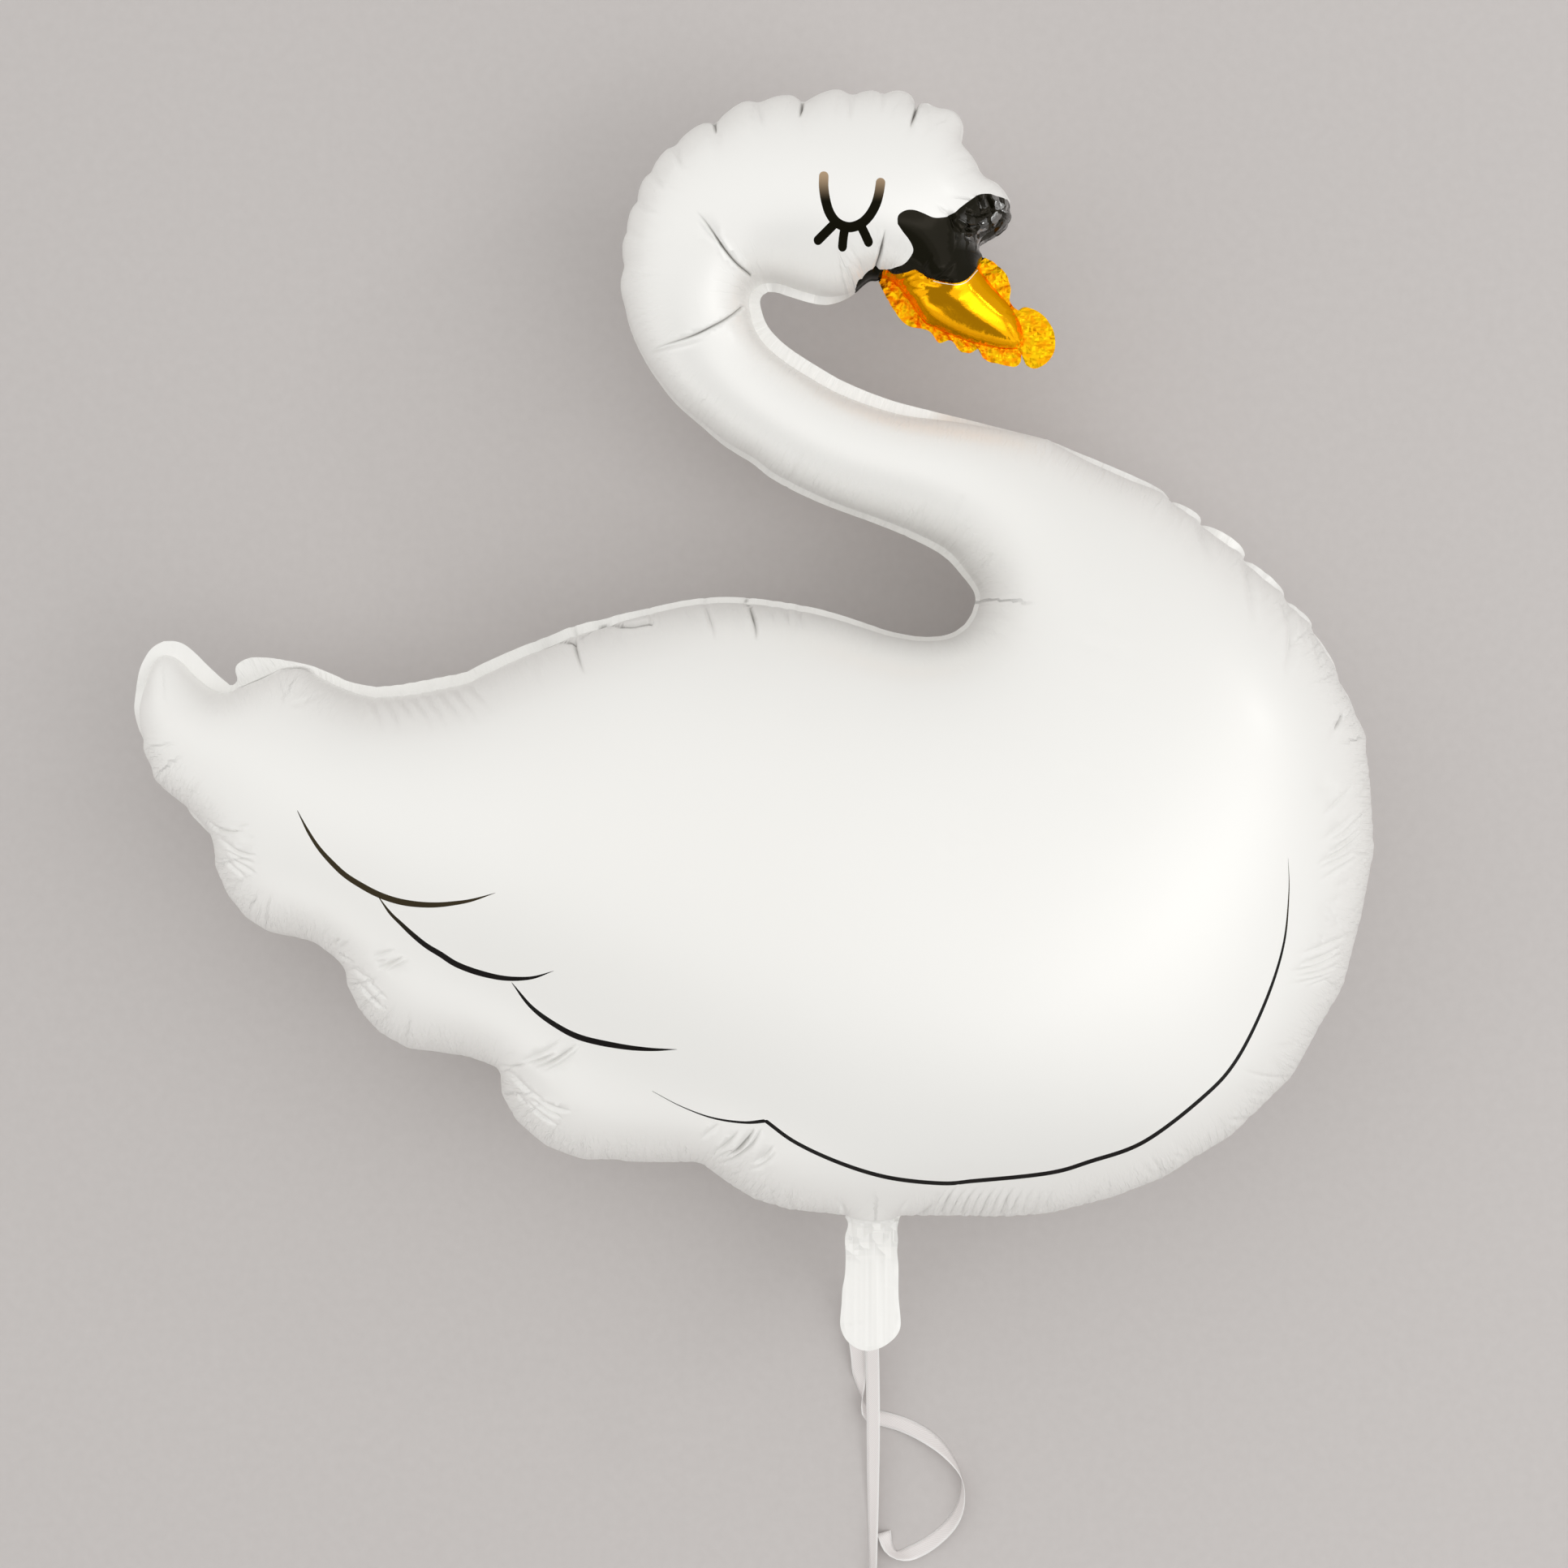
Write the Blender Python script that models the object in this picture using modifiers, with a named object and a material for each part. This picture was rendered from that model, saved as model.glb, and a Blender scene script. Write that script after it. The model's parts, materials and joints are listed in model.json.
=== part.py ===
"""Foil swan balloon, lying on its back sheet.

Two sheets of pearl foil are cut to the swan's outline and sealed round their edge, then filled.
The seal is left as a thin flange, and the filling neck as a flat tab under the belly. A curling
ribbon is knotted behind the tab: its long run goes to a small coil, its short end is curled.

X runs from the tail to the breast, Y from the tab up to the crown, Z up. The origin is on the
floor under the middle of the balloon.
"""
import math

import bmesh
import bpy
import numpy as np
from mathutils import Vector
from mathutils.geometry import delaunay_2d_cdt

# Driving sizes of the foil, in metres
SWAN_WIDTH = 0.750          # tail to breast
FLANGE_WIDTH = 0.005        # the sealed edge
FLANGE_THICKNESS = 0.0012   # both sheets together, at the seal
LOFT_LIMIT = 0.195          # half thickness that an endlessly wide body would reach
FLAT_SPOT_DEPTH = 0.006     # how far the back is pressed flat where it lies
TAB_WIDTH = 0.0325          # filling neck at its root
TAB_END_WIDTH = 0.0360
TAB_LENGTH = 0.0835
TAB_SEAL = 0.003            # the tab's own sealed edge
PLEAT_DEPTH = 0.0025        # how deep the edge folds are at the seal
PLEAT_REACH = 0.018         # how fast they fade

# Sizes of the ribbon, in metres
RIBBON_WIDTH = 0.0095
RIBBON_THICKNESS = 0.0008
KNOT_LENGTH = 0.012
KNOT_WIDTH = 0.021
KNOT_THICKNESS = 0.005
KNOT_SET_BACK = 0.004       # from the belly seal to the knot
COIL_RADIUS = 0.044         # middle of its turns
COIL_WALL = 0.016           # all turns together
COIL_DISTANCE = 0.240       # centre of the coil, from the end of the tab
RIBBON_PARTING = 0.0005     # between the run and the short end as they leave the knot
TOUCH_GAP = 0.0003          # between pieces that touch

# Spacing of the mesh, in metres
EDGE_STEP = 0.0135
LOBE_STEP = 0.0085
SHEET_STEP = 0.020
RING_DEPTHS = (0.0015, 0.0055, 0.0135, 0.0255)

# The outline, read clockwise off the photograph in its pixels. Each run is one smooth stretch
# and meets the next in a corner. A puckered run lists the valleys between its lobes instead.
PHOTO_LEFT, PHOTO_RIGHT = 164, 1691
PHOTO_TAB_ROOT = (1075, 1495)
PHOTO_MIDDLE = (966, 966)
FLOOR_SPREAD = 1.061        # how much smaller the floor looks than the seam plane
PHOTO_SCALE = SWAN_WIDTH / (PHOTO_RIGHT - PHOTO_LEFT)
HALF_ROOT = TAB_WIDTH / 2 / PHOTO_SCALE
RUNS = {
    "neck_back": [(1203, 738), (1186, 709), (1150, 678), (1080, 645), (1008, 618), (954, 591), (893, 549),
                  (832, 496), (790, 434), (767, 372), (764, 335), (770, 285), (788, 235), (826, 182)],
    "crown": [(826, 182), (880, 153), (933, 126), (988, 126), (1046, 115), (1089, 115), (1128, 124)],
    "brow": [(1128, 124), (1158, 128), (1186, 146), (1178, 178)],
    "knob": [(1178, 178), (1214, 220), (1243, 246), (1244, 278), (1209, 300)],
    "beak_top": [(1209, 300), (1234, 331), (1245, 373), (1255, 383)],
    "beak_tip": [(1255, 383), (1274, 381), (1299, 415), (1298, 438), (1278, 455), (1260, 438)],
    "beak_foot": [(1260, 438), (1240, 449), (1195, 431), (1153, 415), (1107, 388), (1082, 346)],
    "chin": [(1082, 346), (1046, 367), (1010, 374), (977, 366), (945, 358)],
    "neck_front": [(945, 358), (937, 372), (947, 404), (970, 427), (1008, 452), (1046, 473), (1107, 496),
                   (1188, 515), (1257, 532), (1325, 555), (1382, 580), (1431, 600)],
    "shoulder": [(1431, 600), (1478, 641), (1533, 690), (1580, 737), (1627, 785), (1660, 855)],
    "breast": [(1660, 855), (1686, 941), (1691, 1036), (1671, 1143), (1649, 1220), (1598, 1302),
               (1565, 1348), (1508, 1401), (1432, 1449), (1366, 1474), (1289, 1493), (1200, 1497),
               (PHOTO_TAB_ROOT[0] + HALF_ROOT, PHOTO_TAB_ROOT[1])],
    "belly": [(PHOTO_TAB_ROOT[0] - HALF_ROOT, PHOTO_TAB_ROOT[1]), (966, 1487), (927, 1475), (893, 1453),
              (862, 1428)],
    "wing_root": [(862, 1428), (800, 1428), (717, 1428), (671, 1410), (633, 1376), (617, 1345), (617, 1315)],
    "wing_middle": [(617, 1315), (580, 1301), (503, 1291), (465, 1269), (442, 1242), (427, 1211), (425, 1190)],
    "wing_tip": [(425, 1190), (393, 1162), (331, 1148), (304, 1131), (282, 1104), (265, 1065), (262, 1032)],
    "tail": [(262, 1032), (228, 993), (190, 959), (174, 921), (164, 871), (171, 833), (186, 802), (207, 790)],
    "tail_top": [(207, 790), (251, 815), (283, 844)],
    "back": [(283, 844), (290, 823), (318, 811), (370, 819), (442, 843), (484, 844), (542, 835), (599, 821),
             (640, 797), (703, 771), (794, 749), (893, 736), (940, 738), (996, 747), (1080, 772),
             (1134, 784), (1178, 777), (1203, 738)],
}
PUCKERED = ("crown", "shoulder")
FOLD_AT_START = ("wing_middle", "wing_tip", "tail", "back", "knob", "neck_front")
LOBE_RISE = 0.11            # how far a pucker stands out, as a share of its length


def from_photo(point):
    """A pixel of the photograph in metres on the seam plane, counted from the tab's root."""
    return Vector((point[0] - PHOTO_TAB_ROOT[0], PHOTO_TAB_ROOT[1] - point[1])) * PHOTO_SCALE


def smooth_run(points, step):
    """Points about a step apart on a smooth curve through the given ones, without the last."""
    knots = [2 * points[0] - points[1]] + points + [2 * points[-1] - points[-2]]
    walked = []
    for before, start, end, after in zip(knots, knots[1:], knots[2:], knots[3:]):
        for t in np.linspace(0, 1, 12, endpoint=False):
            walked.append(0.5 * (2 * start + (end - before) * t
                                 + (2 * before - 5 * start + 4 * end - after) * t ** 2
                                 + (3 * start - before - 3 * end + after) * t ** 3))
    walked.append(points[-1])
    travelled = np.cumsum([0.0] + [(there - here).length for here, there in zip(walked, walked[1:])])
    count = max(1, round(travelled[-1] / step))
    marks = travelled[-1] * np.arange(count) / count
    across = np.interp(marks, travelled, [point.x for point in walked])
    up = np.interp(marks, travelled, [point.y for point in walked])
    return [Vector(place) for place in zip(across, up)]


def puckered_run(valleys, step):
    """Low arches between the given valleys, without the last point, and how deep in a fold each is."""
    places, folds = [], []
    for start, end in zip(valleys, valleys[1:]):
        chord = end - start
        outward = Vector((-chord.y, chord.x))
        count = max(2, round(chord.length / step))
        for share in np.arange(count) / count:
            arch = math.sin(math.pi * share)
            places.append(start + chord * share + outward * LOBE_RISE * arch)
            folds.append(1 - arch)
    return places, folds


def swan_edge():
    """The swan's edge without the tab, clockwise: places, folds and the place where the tab goes in."""
    places, folds = [], []
    tab_at = 0
    for name, run in RUNS.items():
        landmarks = [from_photo(point) for point in run]
        if name in PUCKERED:
            more, creased = puckered_run(landmarks, LOBE_STEP)
        else:
            more = smooth_run(landmarks, EDGE_STEP)
            creased = [1.0 if name in FOLD_AT_START else 0.0] + [0.0] * (len(more) - 1)
        places += more
        folds += creased
        if name == "breast":
            places.append(landmarks[-1])
            folds.append(0.0)
            tab_at = len(places)
    return places, folds, tab_at


def tab_edge():
    """The tab's edge from its right root round its end to its left root."""
    radius = TAB_END_WIDTH / 2
    straight = TAB_LENGTH - radius
    middle_width = (TAB_WIDTH + TAB_END_WIDTH) / 2
    side = [Vector((middle_width / 2, -straight / 2))]
    end = [Vector((radius * math.cos(turn), -straight - radius * math.sin(turn)))
           for turn in np.linspace(0, math.pi, 9)]
    return side + end + [Vector((-point.x, point.y)) for point in side]


def seal_distances(places, edge):
    """How far each place is from a closed edge, and whether it is inside it."""
    places = np.array(places)
    starts = np.array(edge)
    ends = np.roll(starts, -1, axis=0)
    along = ends - starts
    best = np.full(len(places), np.inf)
    crossings = np.zeros(len(places), dtype=int)
    for start, end, run in zip(starts, ends, along):
        share = np.clip(((places - start) @ run) / (run @ run), 0, 1)
        best = np.minimum(best, np.linalg.norm(places - start - share[:, None] * run, axis=1))
        if start[1] != end[1]:
            over = (start[1] > places[:, 1]) != (end[1] > places[:, 1])
            crossing = start[0] + (places[:, 1] - start[1]) * run[0] / run[1]
            crossings += over & (places[:, 0] < crossing)
    return best, crossings % 2 == 1


def inset_ring(edge, folds, depth, apart):
    """The edge moved inwards by a depth, without the places where it would cross itself."""
    moved = []
    for before, here, after in zip(edge[-1:] + edge[:-1], edge, edge[1:] + edge[:1]):
        along = (here - before).normalized() + (after - here).normalized()
        moved.append(here + Vector((along.y, -along.x)).normalized() * depth)
    far, inside = seal_distances(moved, edge)
    ring = []
    for place, fold, distance, within in zip(moved, folds, far, inside):
        if within and distance > 0.9 * depth and (not ring or (place - ring[-1][0]).length > apart):
            ring.append((place, fold))
    return ring


def inside_grid(edge, clear, step):
    """A triangular grid of places that stay clear of the edge."""
    corner = np.min(edge, axis=0)
    span = np.max(edge, axis=0) - corner
    row_step = step * math.sqrt(3) / 2
    places = [Vector((corner[0] + (column + row % 2 / 2) * step, corner[1] + row * row_step))
              for row in range(int(span[1] / row_step) + 2) for column in range(int(span[0] / step) + 2)]
    far, inside = seal_distances(places, edge)
    return [place for place, distance, within in zip(places, far, inside) if within and distance > clear]


def flat_sheet():
    """One flat sheet: its places, triangles, fixed places, folds and depths behind the seal."""
    edge, folds, tab_at = swan_edge()
    outer = edge[:tab_at] + tab_edge() + edge[tab_at:]
    places = list(outer)
    bounds = [(i, (i + 1) % len(outer)) for i in range(len(outer))]
    creases = [0.0] * len(outer)
    depths = [-1.0] * len(outer)

    def add_ring(ring, depth, closed):
        first = len(places)
        for place, fold in ring:
            places.append(place)
            creases.append(fold)
            depths.append(depth)
        if closed:
            bounds.extend((first + i, first + (i + 1) % len(ring)) for i in range(len(ring)))

    tab_loop = tab_edge() + [Vector((-TAB_WIDTH / 2, 0)), Vector((TAB_WIDTH / 2, 0))]
    add_ring(inset_ring(tab_loop, [0.0] * len(tab_loop), TAB_SEAL, 0.0), -1.0, True)
    flat_count = len(places)
    add_ring(inset_ring(edge, folds, FLANGE_WIDTH, 0.0), 0.0, True)
    for depth in RING_DEPTHS:
        add_ring(inset_ring(edge, folds, FLANGE_WIDTH + depth, EDGE_STEP * 0.45), depth, False)
    reach = FLANGE_WIDTH + RING_DEPTHS[-1] + SHEET_STEP * 0.6
    add_ring([(place, 0.0) for place in inside_grid(edge, reach, SHEET_STEP)], 1.0, False)

    found = delaunay_2d_cdt(places, bounds, [], 1, 1e-7)
    sources = [min(source) for source in found[3]]
    rim = [source < len(outer) for source in sources]
    sealed = [depths[source] <= 0 for source in sources]
    return (np.array([tuple(place) for place in found[0]]), np.array(found[2]), np.array(rim),
            np.array(sealed), np.array([creases[source] for source in sources]),
            np.array([depths[source] for source in sources]))


def filled_heights(places, triangles, sealed):
    """How high a sheet that is held at its seal stands when it is filled: a membrane under
    even load, with the root of its rise, so that a long narrow part fills to a round tube."""
    size = len(places)
    firsts, seconds, weights = [], [], []
    load = np.zeros(size)
    for corner in range(3):
        tip = triangles[:, corner]
        left = triangles[:, (corner + 1) % 3]
        right = triangles[:, (corner + 2) % 3]
        to_left, to_right = places[left] - places[tip], places[right] - places[tip]
        twice_area = np.abs(to_left[:, 0] * to_right[:, 1] - to_left[:, 1] * to_right[:, 0])
        firsts.append(left)
        seconds.append(right)
        weights.append(0.5 * np.sum(to_left * to_right, axis=1) / twice_area)
        load += np.bincount(tip, twice_area / 6, size)
    first, second, weight = np.concatenate(firsts), np.concatenate(seconds), np.concatenate(weights)
    free = ~sealed

    def pull(rise):
        flow = weight * (rise[first] - rise[second])
        return free * (np.bincount(first, flow, size) - np.bincount(second, flow, size))

    rise = np.zeros(size)
    rest = free * load
    step = rest.copy()
    energy = rest @ rest
    while energy > 1e-24:
        change = pull(step)
        share = energy / (step @ change)
        rise += share * step
        rest -= share * change
        step = rest + (rest @ rest) / energy * step
        energy = rest @ rest
    height = np.sqrt(2 * np.maximum(rise, 0))
    return height / np.sqrt(1 + (height / LOFT_LIMIT) ** 2)


def finish(name, color, metallic, roughness):
    """A plain shader in the colour of one piece."""
    material = bpy.data.materials.new(name)
    material.use_nodes = True
    shader = material.node_tree.nodes["Principled BSDF"]
    shader.inputs["Base Color"].default_value = (*color, 1)
    shader.inputs["Metallic"].default_value = metallic
    shader.inputs["Roughness"].default_value = roughness
    return material


def new_piece(name, mesh, place, material, parts):
    """A named object in the part's collection."""
    piece = bpy.data.objects.new(name, mesh)
    piece.location = place
    mesh.materials.append(material)
    parts.objects.link(piece)
    return piece


def make_swan(parts, cutters):
    """The filled foil body with its flange and tab; gives its seam height and its tab's root."""
    places, triangles, rim, sealed, folds, depths = flat_sheet()
    heights = filled_heights(places, triangles, sealed)
    pleats = np.where(depths > 0, folds * PLEAT_DEPTH * np.exp(-np.maximum(depths, 0) / PLEAT_REACH), 0)
    lifted = np.where(rim, 0, FLANGE_THICKNESS / 2 + heights - np.minimum(pleats, heights / 2))
    seam_height = float(np.max(lifted)) - FLAT_SPOT_DEPTH
    middle = (places.min(axis=0) + places.max(axis=0)) / 2
    centred = places - middle

    mesh = bpy.data.meshes.new("foil_swan")
    mesh.from_pydata([(x, y, z) for (x, y), z in zip(centred, lifted)], [], triangles.tolist())
    sheet = bmesh.new()
    sheet.from_mesh(mesh)
    bridges = [edge for edge in sheet.edges if not edge.is_boundary
               and all(rim[vert.index] for vert in edge.verts)]
    split = bmesh.ops.subdivide_edges(sheet, edges=bridges, cuts=1)
    for vert in split["geom_inner"]:
        if isinstance(vert, bmesh.types.BMVert):
            vert.co.z = FLANGE_THICKNESS / 2
    bmesh.ops.triangulate(sheet, faces=sheet.faces)
    bmesh.ops.recalc_face_normals(sheet, faces=sheet.faces)
    if sum(face.normal.z for face in sheet.faces) < 0:
        bmesh.ops.reverse_faces(sheet, faces=sheet.faces)
    sheet.to_mesh(mesh)
    sheet.free()
    mesh.shade_smooth()
    mesh.set_sharp_from_angle(angle=math.radians(50))

    swan = new_piece("foil_swan", mesh, (0, 0, seam_height), finish("pearl_foil", (0.9, 0.88, 0.87), 0.35, 0.3),
                     parts)
    back = swan.modifiers.new("back_sheet", "MIRROR")
    back.use_axis = (False, False, True)
    back.merge_threshold = 0.00002

    block_side = 2 * SWAN_WIDTH
    block_height = 0.1
    bpy.ops.mesh.primitive_cube_add(size=1, location=(0, 0, -block_height / 2))
    block = bpy.context.object
    block.name = "floor_cutter"
    block.scale = (block_side, block_side, block_height)
    block.hide_render = True
    block.display_type = "WIRE"
    for home in list(block.users_collection):
        home.objects.unlink(block)
    cutters.objects.link(block)
    flat_spot = swan.modifiers.new("flat_spot", "BOOLEAN")
    flat_spot.operation = "DIFFERENCE"
    flat_spot.solver = "EXACT"
    flat_spot.object = block
    return seam_height, Vector((-middle[0], -middle[1], seam_height))


def strip(name, route, leans, material, parts):
    """A flat ribbon along a route. Its width is level, turned about the route by each lean."""
    count = len(route)
    bent = bmesh.new()
    bmesh.ops.create_grid(bent, x_segments=count - 1, y_segments=1, size=0.5)
    for vert in bent.verts:
        i = round((vert.co.x + 0.5) * (count - 1))
        side = 1 if vert.co.y > 0 else -1
        heading = (route[min(i + 1, count - 1)] - route[max(i - 1, 0)]).normalized()
        level = Vector((0, 0, 1)).cross(heading).normalized()
        across = level * math.cos(leans[i]) + heading.cross(level) * math.sin(leans[i])
        middle = route[i].copy()
        middle.z = max(middle.z, (abs(across.z) * RIBBON_WIDTH + RIBBON_THICKNESS * 1.2) / 2)
        vert.co = middle + across * side * RIBBON_WIDTH / 2
    mesh = bpy.data.meshes.new(name)
    bent.to_mesh(mesh)
    bent.free()
    ribbon = new_piece(name, mesh, (0, 0, 0), material, parts)
    wall = ribbon.modifiers.new("thickness", "SOLIDIFY")
    wall.thickness = RIBBON_THICKNESS
    wall.offset = 0
    return ribbon


def through(points, step):
    """A smooth route through points (x, y, z, lean in degrees), as places and leans in radians."""
    knots = [np.array(point, dtype=float) for point in points]
    knots = [2 * knots[0] - knots[1]] + knots + [2 * knots[-1] - knots[-2]]
    walked = []
    for before, start, end, after in zip(knots, knots[1:], knots[2:], knots[3:]):
        for t in np.linspace(0, 1, 16, endpoint=False):
            walked.append(0.5 * (2 * start + (end - before) * t
                                 + (2 * before - 5 * start + 4 * end - after) * t ** 2
                                 + (3 * start - before - 3 * end + after) * t ** 3))
    walked.append(knots[-2])
    walked = np.array(walked)
    travelled = np.concatenate([[0], np.cumsum(np.linalg.norm(np.diff(walked[:, :3], axis=0), axis=1))])
    marks = np.linspace(0, travelled[-1], max(2, round(travelled[-1] / step)) + 1)
    found = np.array([np.interp(marks, travelled, walked[:, i]) for i in range(4)]).T
    return [Vector(row[:3]) for row in found], [math.radians(row[3]) for row in found]


def make_ribbon(seam_height, root, parts):
    """The knot under the tab, the run from it to the coil, the coil and the curled short end."""
    satin = finish("ribbon_satin", (0.9, 0.86, 0.85), 0.0, 0.35)
    tab_under = seam_height - FLANGE_THICKNESS / 2
    knot_middle = Vector((root.x - (RIBBON_WIDTH + RIBBON_PARTING) / 2, root.y - KNOT_SET_BACK - KNOT_LENGTH / 2,
                          tab_under - TOUCH_GAP - KNOT_THICKNESS / 2))
    bpy.ops.mesh.primitive_cube_add(size=1)
    knot = bpy.context.object
    knot.data.transform(knot.matrix_world.Diagonal((KNOT_WIDTH, KNOT_LENGTH, KNOT_THICKNESS, 1)))
    knot.name = "ribbon_knot"
    knot.location = knot_middle
    knot.data.materials.append(satin)
    rounding = knot.modifiers.new("rounding", "BEVEL")
    rounding.width = KNOT_THICKNESS * 0.3
    rounding.segments = 2
    for home in list(knot.users_collection):
        home.objects.unlink(knot)
    parts.objects.link(knot)

    start_y = knot_middle.y - KNOT_LENGTH / 2 - TOUCH_GAP
    start_z = knot_middle.z
    apart = (RIBBON_WIDTH + RIBBON_PARTING) / 2
    end_y = root.y - TAB_LENGTH - COIL_DISTANCE
    outer = COIL_RADIUS + COIL_WALL / 2
    tangent = outer - RIBBON_THICKNESS
    run_x = knot_middle.x + apart
    floor_x = run_x + 0.0035
    coil_x = floor_x - tangent
    meet_y = end_y + math.sqrt(outer ** 2 - (tangent - RIBBON_THICKNESS / 2) ** 2) + TOUCH_GAP
    # Run: off the knot, down, over the short end and along the floor, turning up on its edge
    run = [(run_x, start_y, start_z, 0),
           (run_x, start_y - 0.010, start_z - 0.0008, 0),
           (run_x, start_y - 0.024, start_z - 0.011, 0),
           (run_x, start_y - 0.036, start_z - 0.033, 0),
           (run_x + 0.0005, start_y - 0.046, start_z * 0.50, 0),
           (run_x + 0.0010, start_y - 0.056, start_z * 0.28, 0),
           (run_x + 0.0020, start_y - 0.070, 0.0220, 4),
           (run_x + 0.0028, start_y - 0.090, 0.0145, 10),
           (run_x + 0.0033, start_y - 0.112, 0.0122, 16),
           (floor_x, start_y - 0.135, 0.0115, 24),
           (floor_x, start_y - 0.162, 0.0078, 34),
           (floor_x, start_y - 0.200, 0.0050, 50),
           (floor_x, (start_y - 0.200 + meet_y) / 2, 0.0052, 72),
           (floor_x, meet_y + 0.012, 0.0053, 90),
           (floor_x, meet_y, 0.0053, 90)]
    strip("ribbon_run", *through(run, 0.008), satin, parts)

    wall = bmesh.new()
    inner = COIL_RADIUS - COIL_WALL / 2
    height = RIBBON_WIDTH + RIBBON_THICKNESS
    profile = [wall.verts.new(corner) for corner in
               ((outer, 0, height), (outer, 0, 0), (inner, 0, 0), (inner, 0, height))]
    for here, there in zip(profile, profile[1:] + profile[:1]):
        wall.edges.new((here, there))
    mesh = bpy.data.meshes.new("ribbon_coil")
    wall.to_mesh(mesh)
    wall.free()
    coil = new_piece("ribbon_coil", mesh, (coil_x, end_y, 0), satin, parts)
    turn = coil.modifiers.new("turn", "SCREW")
    turn.axis = "Z"
    turn.steps = 40
    turn.render_steps = 40
    turn.use_merge_vertices = True
    turn.merge_threshold = 0.00005

    # Short end: beside the run, down to the floor, under the run and round in one open curl
    tail_x = knot_middle.x - apart
    tail = [(tail_x, start_y, start_z, 0),
            (tail_x, start_y - 0.010, start_z - 0.0008, 0),
            (tail_x, start_y - 0.023, start_z - 0.012, 0),
            (tail_x, start_y - 0.034, start_z - 0.036, 0),
            (tail_x, start_y - 0.043, start_z * 0.46, 3),
            (tail_x + 0.0005, start_y - 0.052, start_z * 0.24, 8),
            (tail_x + 0.0010, start_y - 0.066, 0.0140, 18)]
    curl = [(1057, 1668, 0.0075, 34), (1058, 1696, 0.0050, 62), (1059, 1722, 0.0052, 92),
            (1064, 1740, 0.0045, 125), (1077, 1749, 0.0020, 158), (1094, 1750, 0.0010, 175),
            (1116, 1755, 0.0012, 168), (1142, 1769, 0.0030, 145), (1165, 1789, 0.0045, 115),
            (1181, 1817, 0.0050, 90), (1183, 1848, 0.0048, 66), (1170, 1880, 0.0038, 46),
            (1147, 1903, 0.0025, 30), (1120, 1914, 0.0016, 16), (1101, 1911, 0.0018, 14),
            (1091, 1900, 0.0026, 16), (1089, 1886, 0.0034, 20)]
    lens = from_photo(PHOTO_MIDDLE)
    tail += [(*((from_photo(spot[:2]) - lens) * FLOOR_SPREAD + lens + root.xy), *spot[2:]) for spot in curl]
    strip("ribbon_tail", *through(tail, 0.007), satin, parts)


for thing in list(bpy.data.objects):
    bpy.data.objects.remove(thing)
swan_parts = bpy.data.collections.new("foil_swan_balloon")
swan_cutters = bpy.data.collections.new("cutters")
bpy.context.scene.collection.children.link(swan_parts)
bpy.context.scene.collection.children.link(swan_cutters)
seam, tab_root = make_swan(swan_parts, swan_cutters)
make_ribbon(seam, tab_root, swan_parts)
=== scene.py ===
"""Foil swan balloon: the looks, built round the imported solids.

The file follows the balloon as it is put together: the two printed foil sheets are cut, sealed and
filled, then the curling ribbon is knotted behind the tab, and the balloon is laid on a pale floor.
Lengths are in metres unless a name says otherwise. Places read off the photograph are in its pixels.
"""
import json
import math

import bmesh
import bpy
import numpy as np
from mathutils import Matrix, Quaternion, Vector
from mathutils.bvhtree import BVHTree
from mathutils.geometry import delaunay_2d_cdt
from mathutils.kdtree import KDTree

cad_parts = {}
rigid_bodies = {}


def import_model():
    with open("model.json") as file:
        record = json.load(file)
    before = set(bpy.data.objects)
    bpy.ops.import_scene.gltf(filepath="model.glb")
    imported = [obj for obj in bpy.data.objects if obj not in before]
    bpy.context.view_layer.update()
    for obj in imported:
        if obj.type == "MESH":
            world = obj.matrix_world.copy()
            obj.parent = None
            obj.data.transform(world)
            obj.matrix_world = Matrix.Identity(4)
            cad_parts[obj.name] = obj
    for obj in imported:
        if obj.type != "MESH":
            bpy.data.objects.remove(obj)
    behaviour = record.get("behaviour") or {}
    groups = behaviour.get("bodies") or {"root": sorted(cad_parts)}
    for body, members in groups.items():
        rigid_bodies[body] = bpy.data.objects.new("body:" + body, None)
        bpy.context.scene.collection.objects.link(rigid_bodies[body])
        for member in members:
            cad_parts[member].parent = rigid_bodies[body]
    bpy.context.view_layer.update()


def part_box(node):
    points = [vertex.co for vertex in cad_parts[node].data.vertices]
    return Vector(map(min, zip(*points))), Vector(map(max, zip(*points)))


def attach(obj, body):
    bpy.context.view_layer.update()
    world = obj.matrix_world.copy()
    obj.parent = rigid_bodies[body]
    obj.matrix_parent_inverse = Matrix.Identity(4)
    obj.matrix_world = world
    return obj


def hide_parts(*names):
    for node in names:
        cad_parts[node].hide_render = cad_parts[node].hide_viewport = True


for thing in list(bpy.data.objects):
    bpy.data.objects.remove(thing)
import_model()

# The cut of the sheets
# Both sheets are one shape, cut from pearl coated polyester film, with a neck to fill it by. The edge
# was read clockwise off the photograph: it is the edge as it stands when the balloon is full.
PHOTO_PIXEL = 0.750 / (1691 - 164)      # metres at the seam: the swan is 0.75 m from tail to breast
TAB_LENGTH = 0.0835
TAB_ROOT_PIXEL = (1075, 1495)
VIEW_MIDDLE_PIXEL = (966, 966)
LENS_ABOVE_SEAM = 1.9
FLAT_SPOT_DEPTH = 0.006     # how far the back sheet is pressed in where the balloon lies on it
EDGE_STEP = 0.0018
FINE_STEP = 0.0006          # round the bill, where the print crosses the seal
FINE_STRETCHES = ("knob", "mask_side", "beak_top", "beak_tip", "beak_foot", "hook")
swan_low, swan_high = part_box("foil_swan")
SEAM_HEIGHT = (swan_high.z - FLAT_SPOT_DEPTH) / 2
TAB_ROOT = Vector((0.0720, swan_low.y + TAB_LENGTH))
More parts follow.
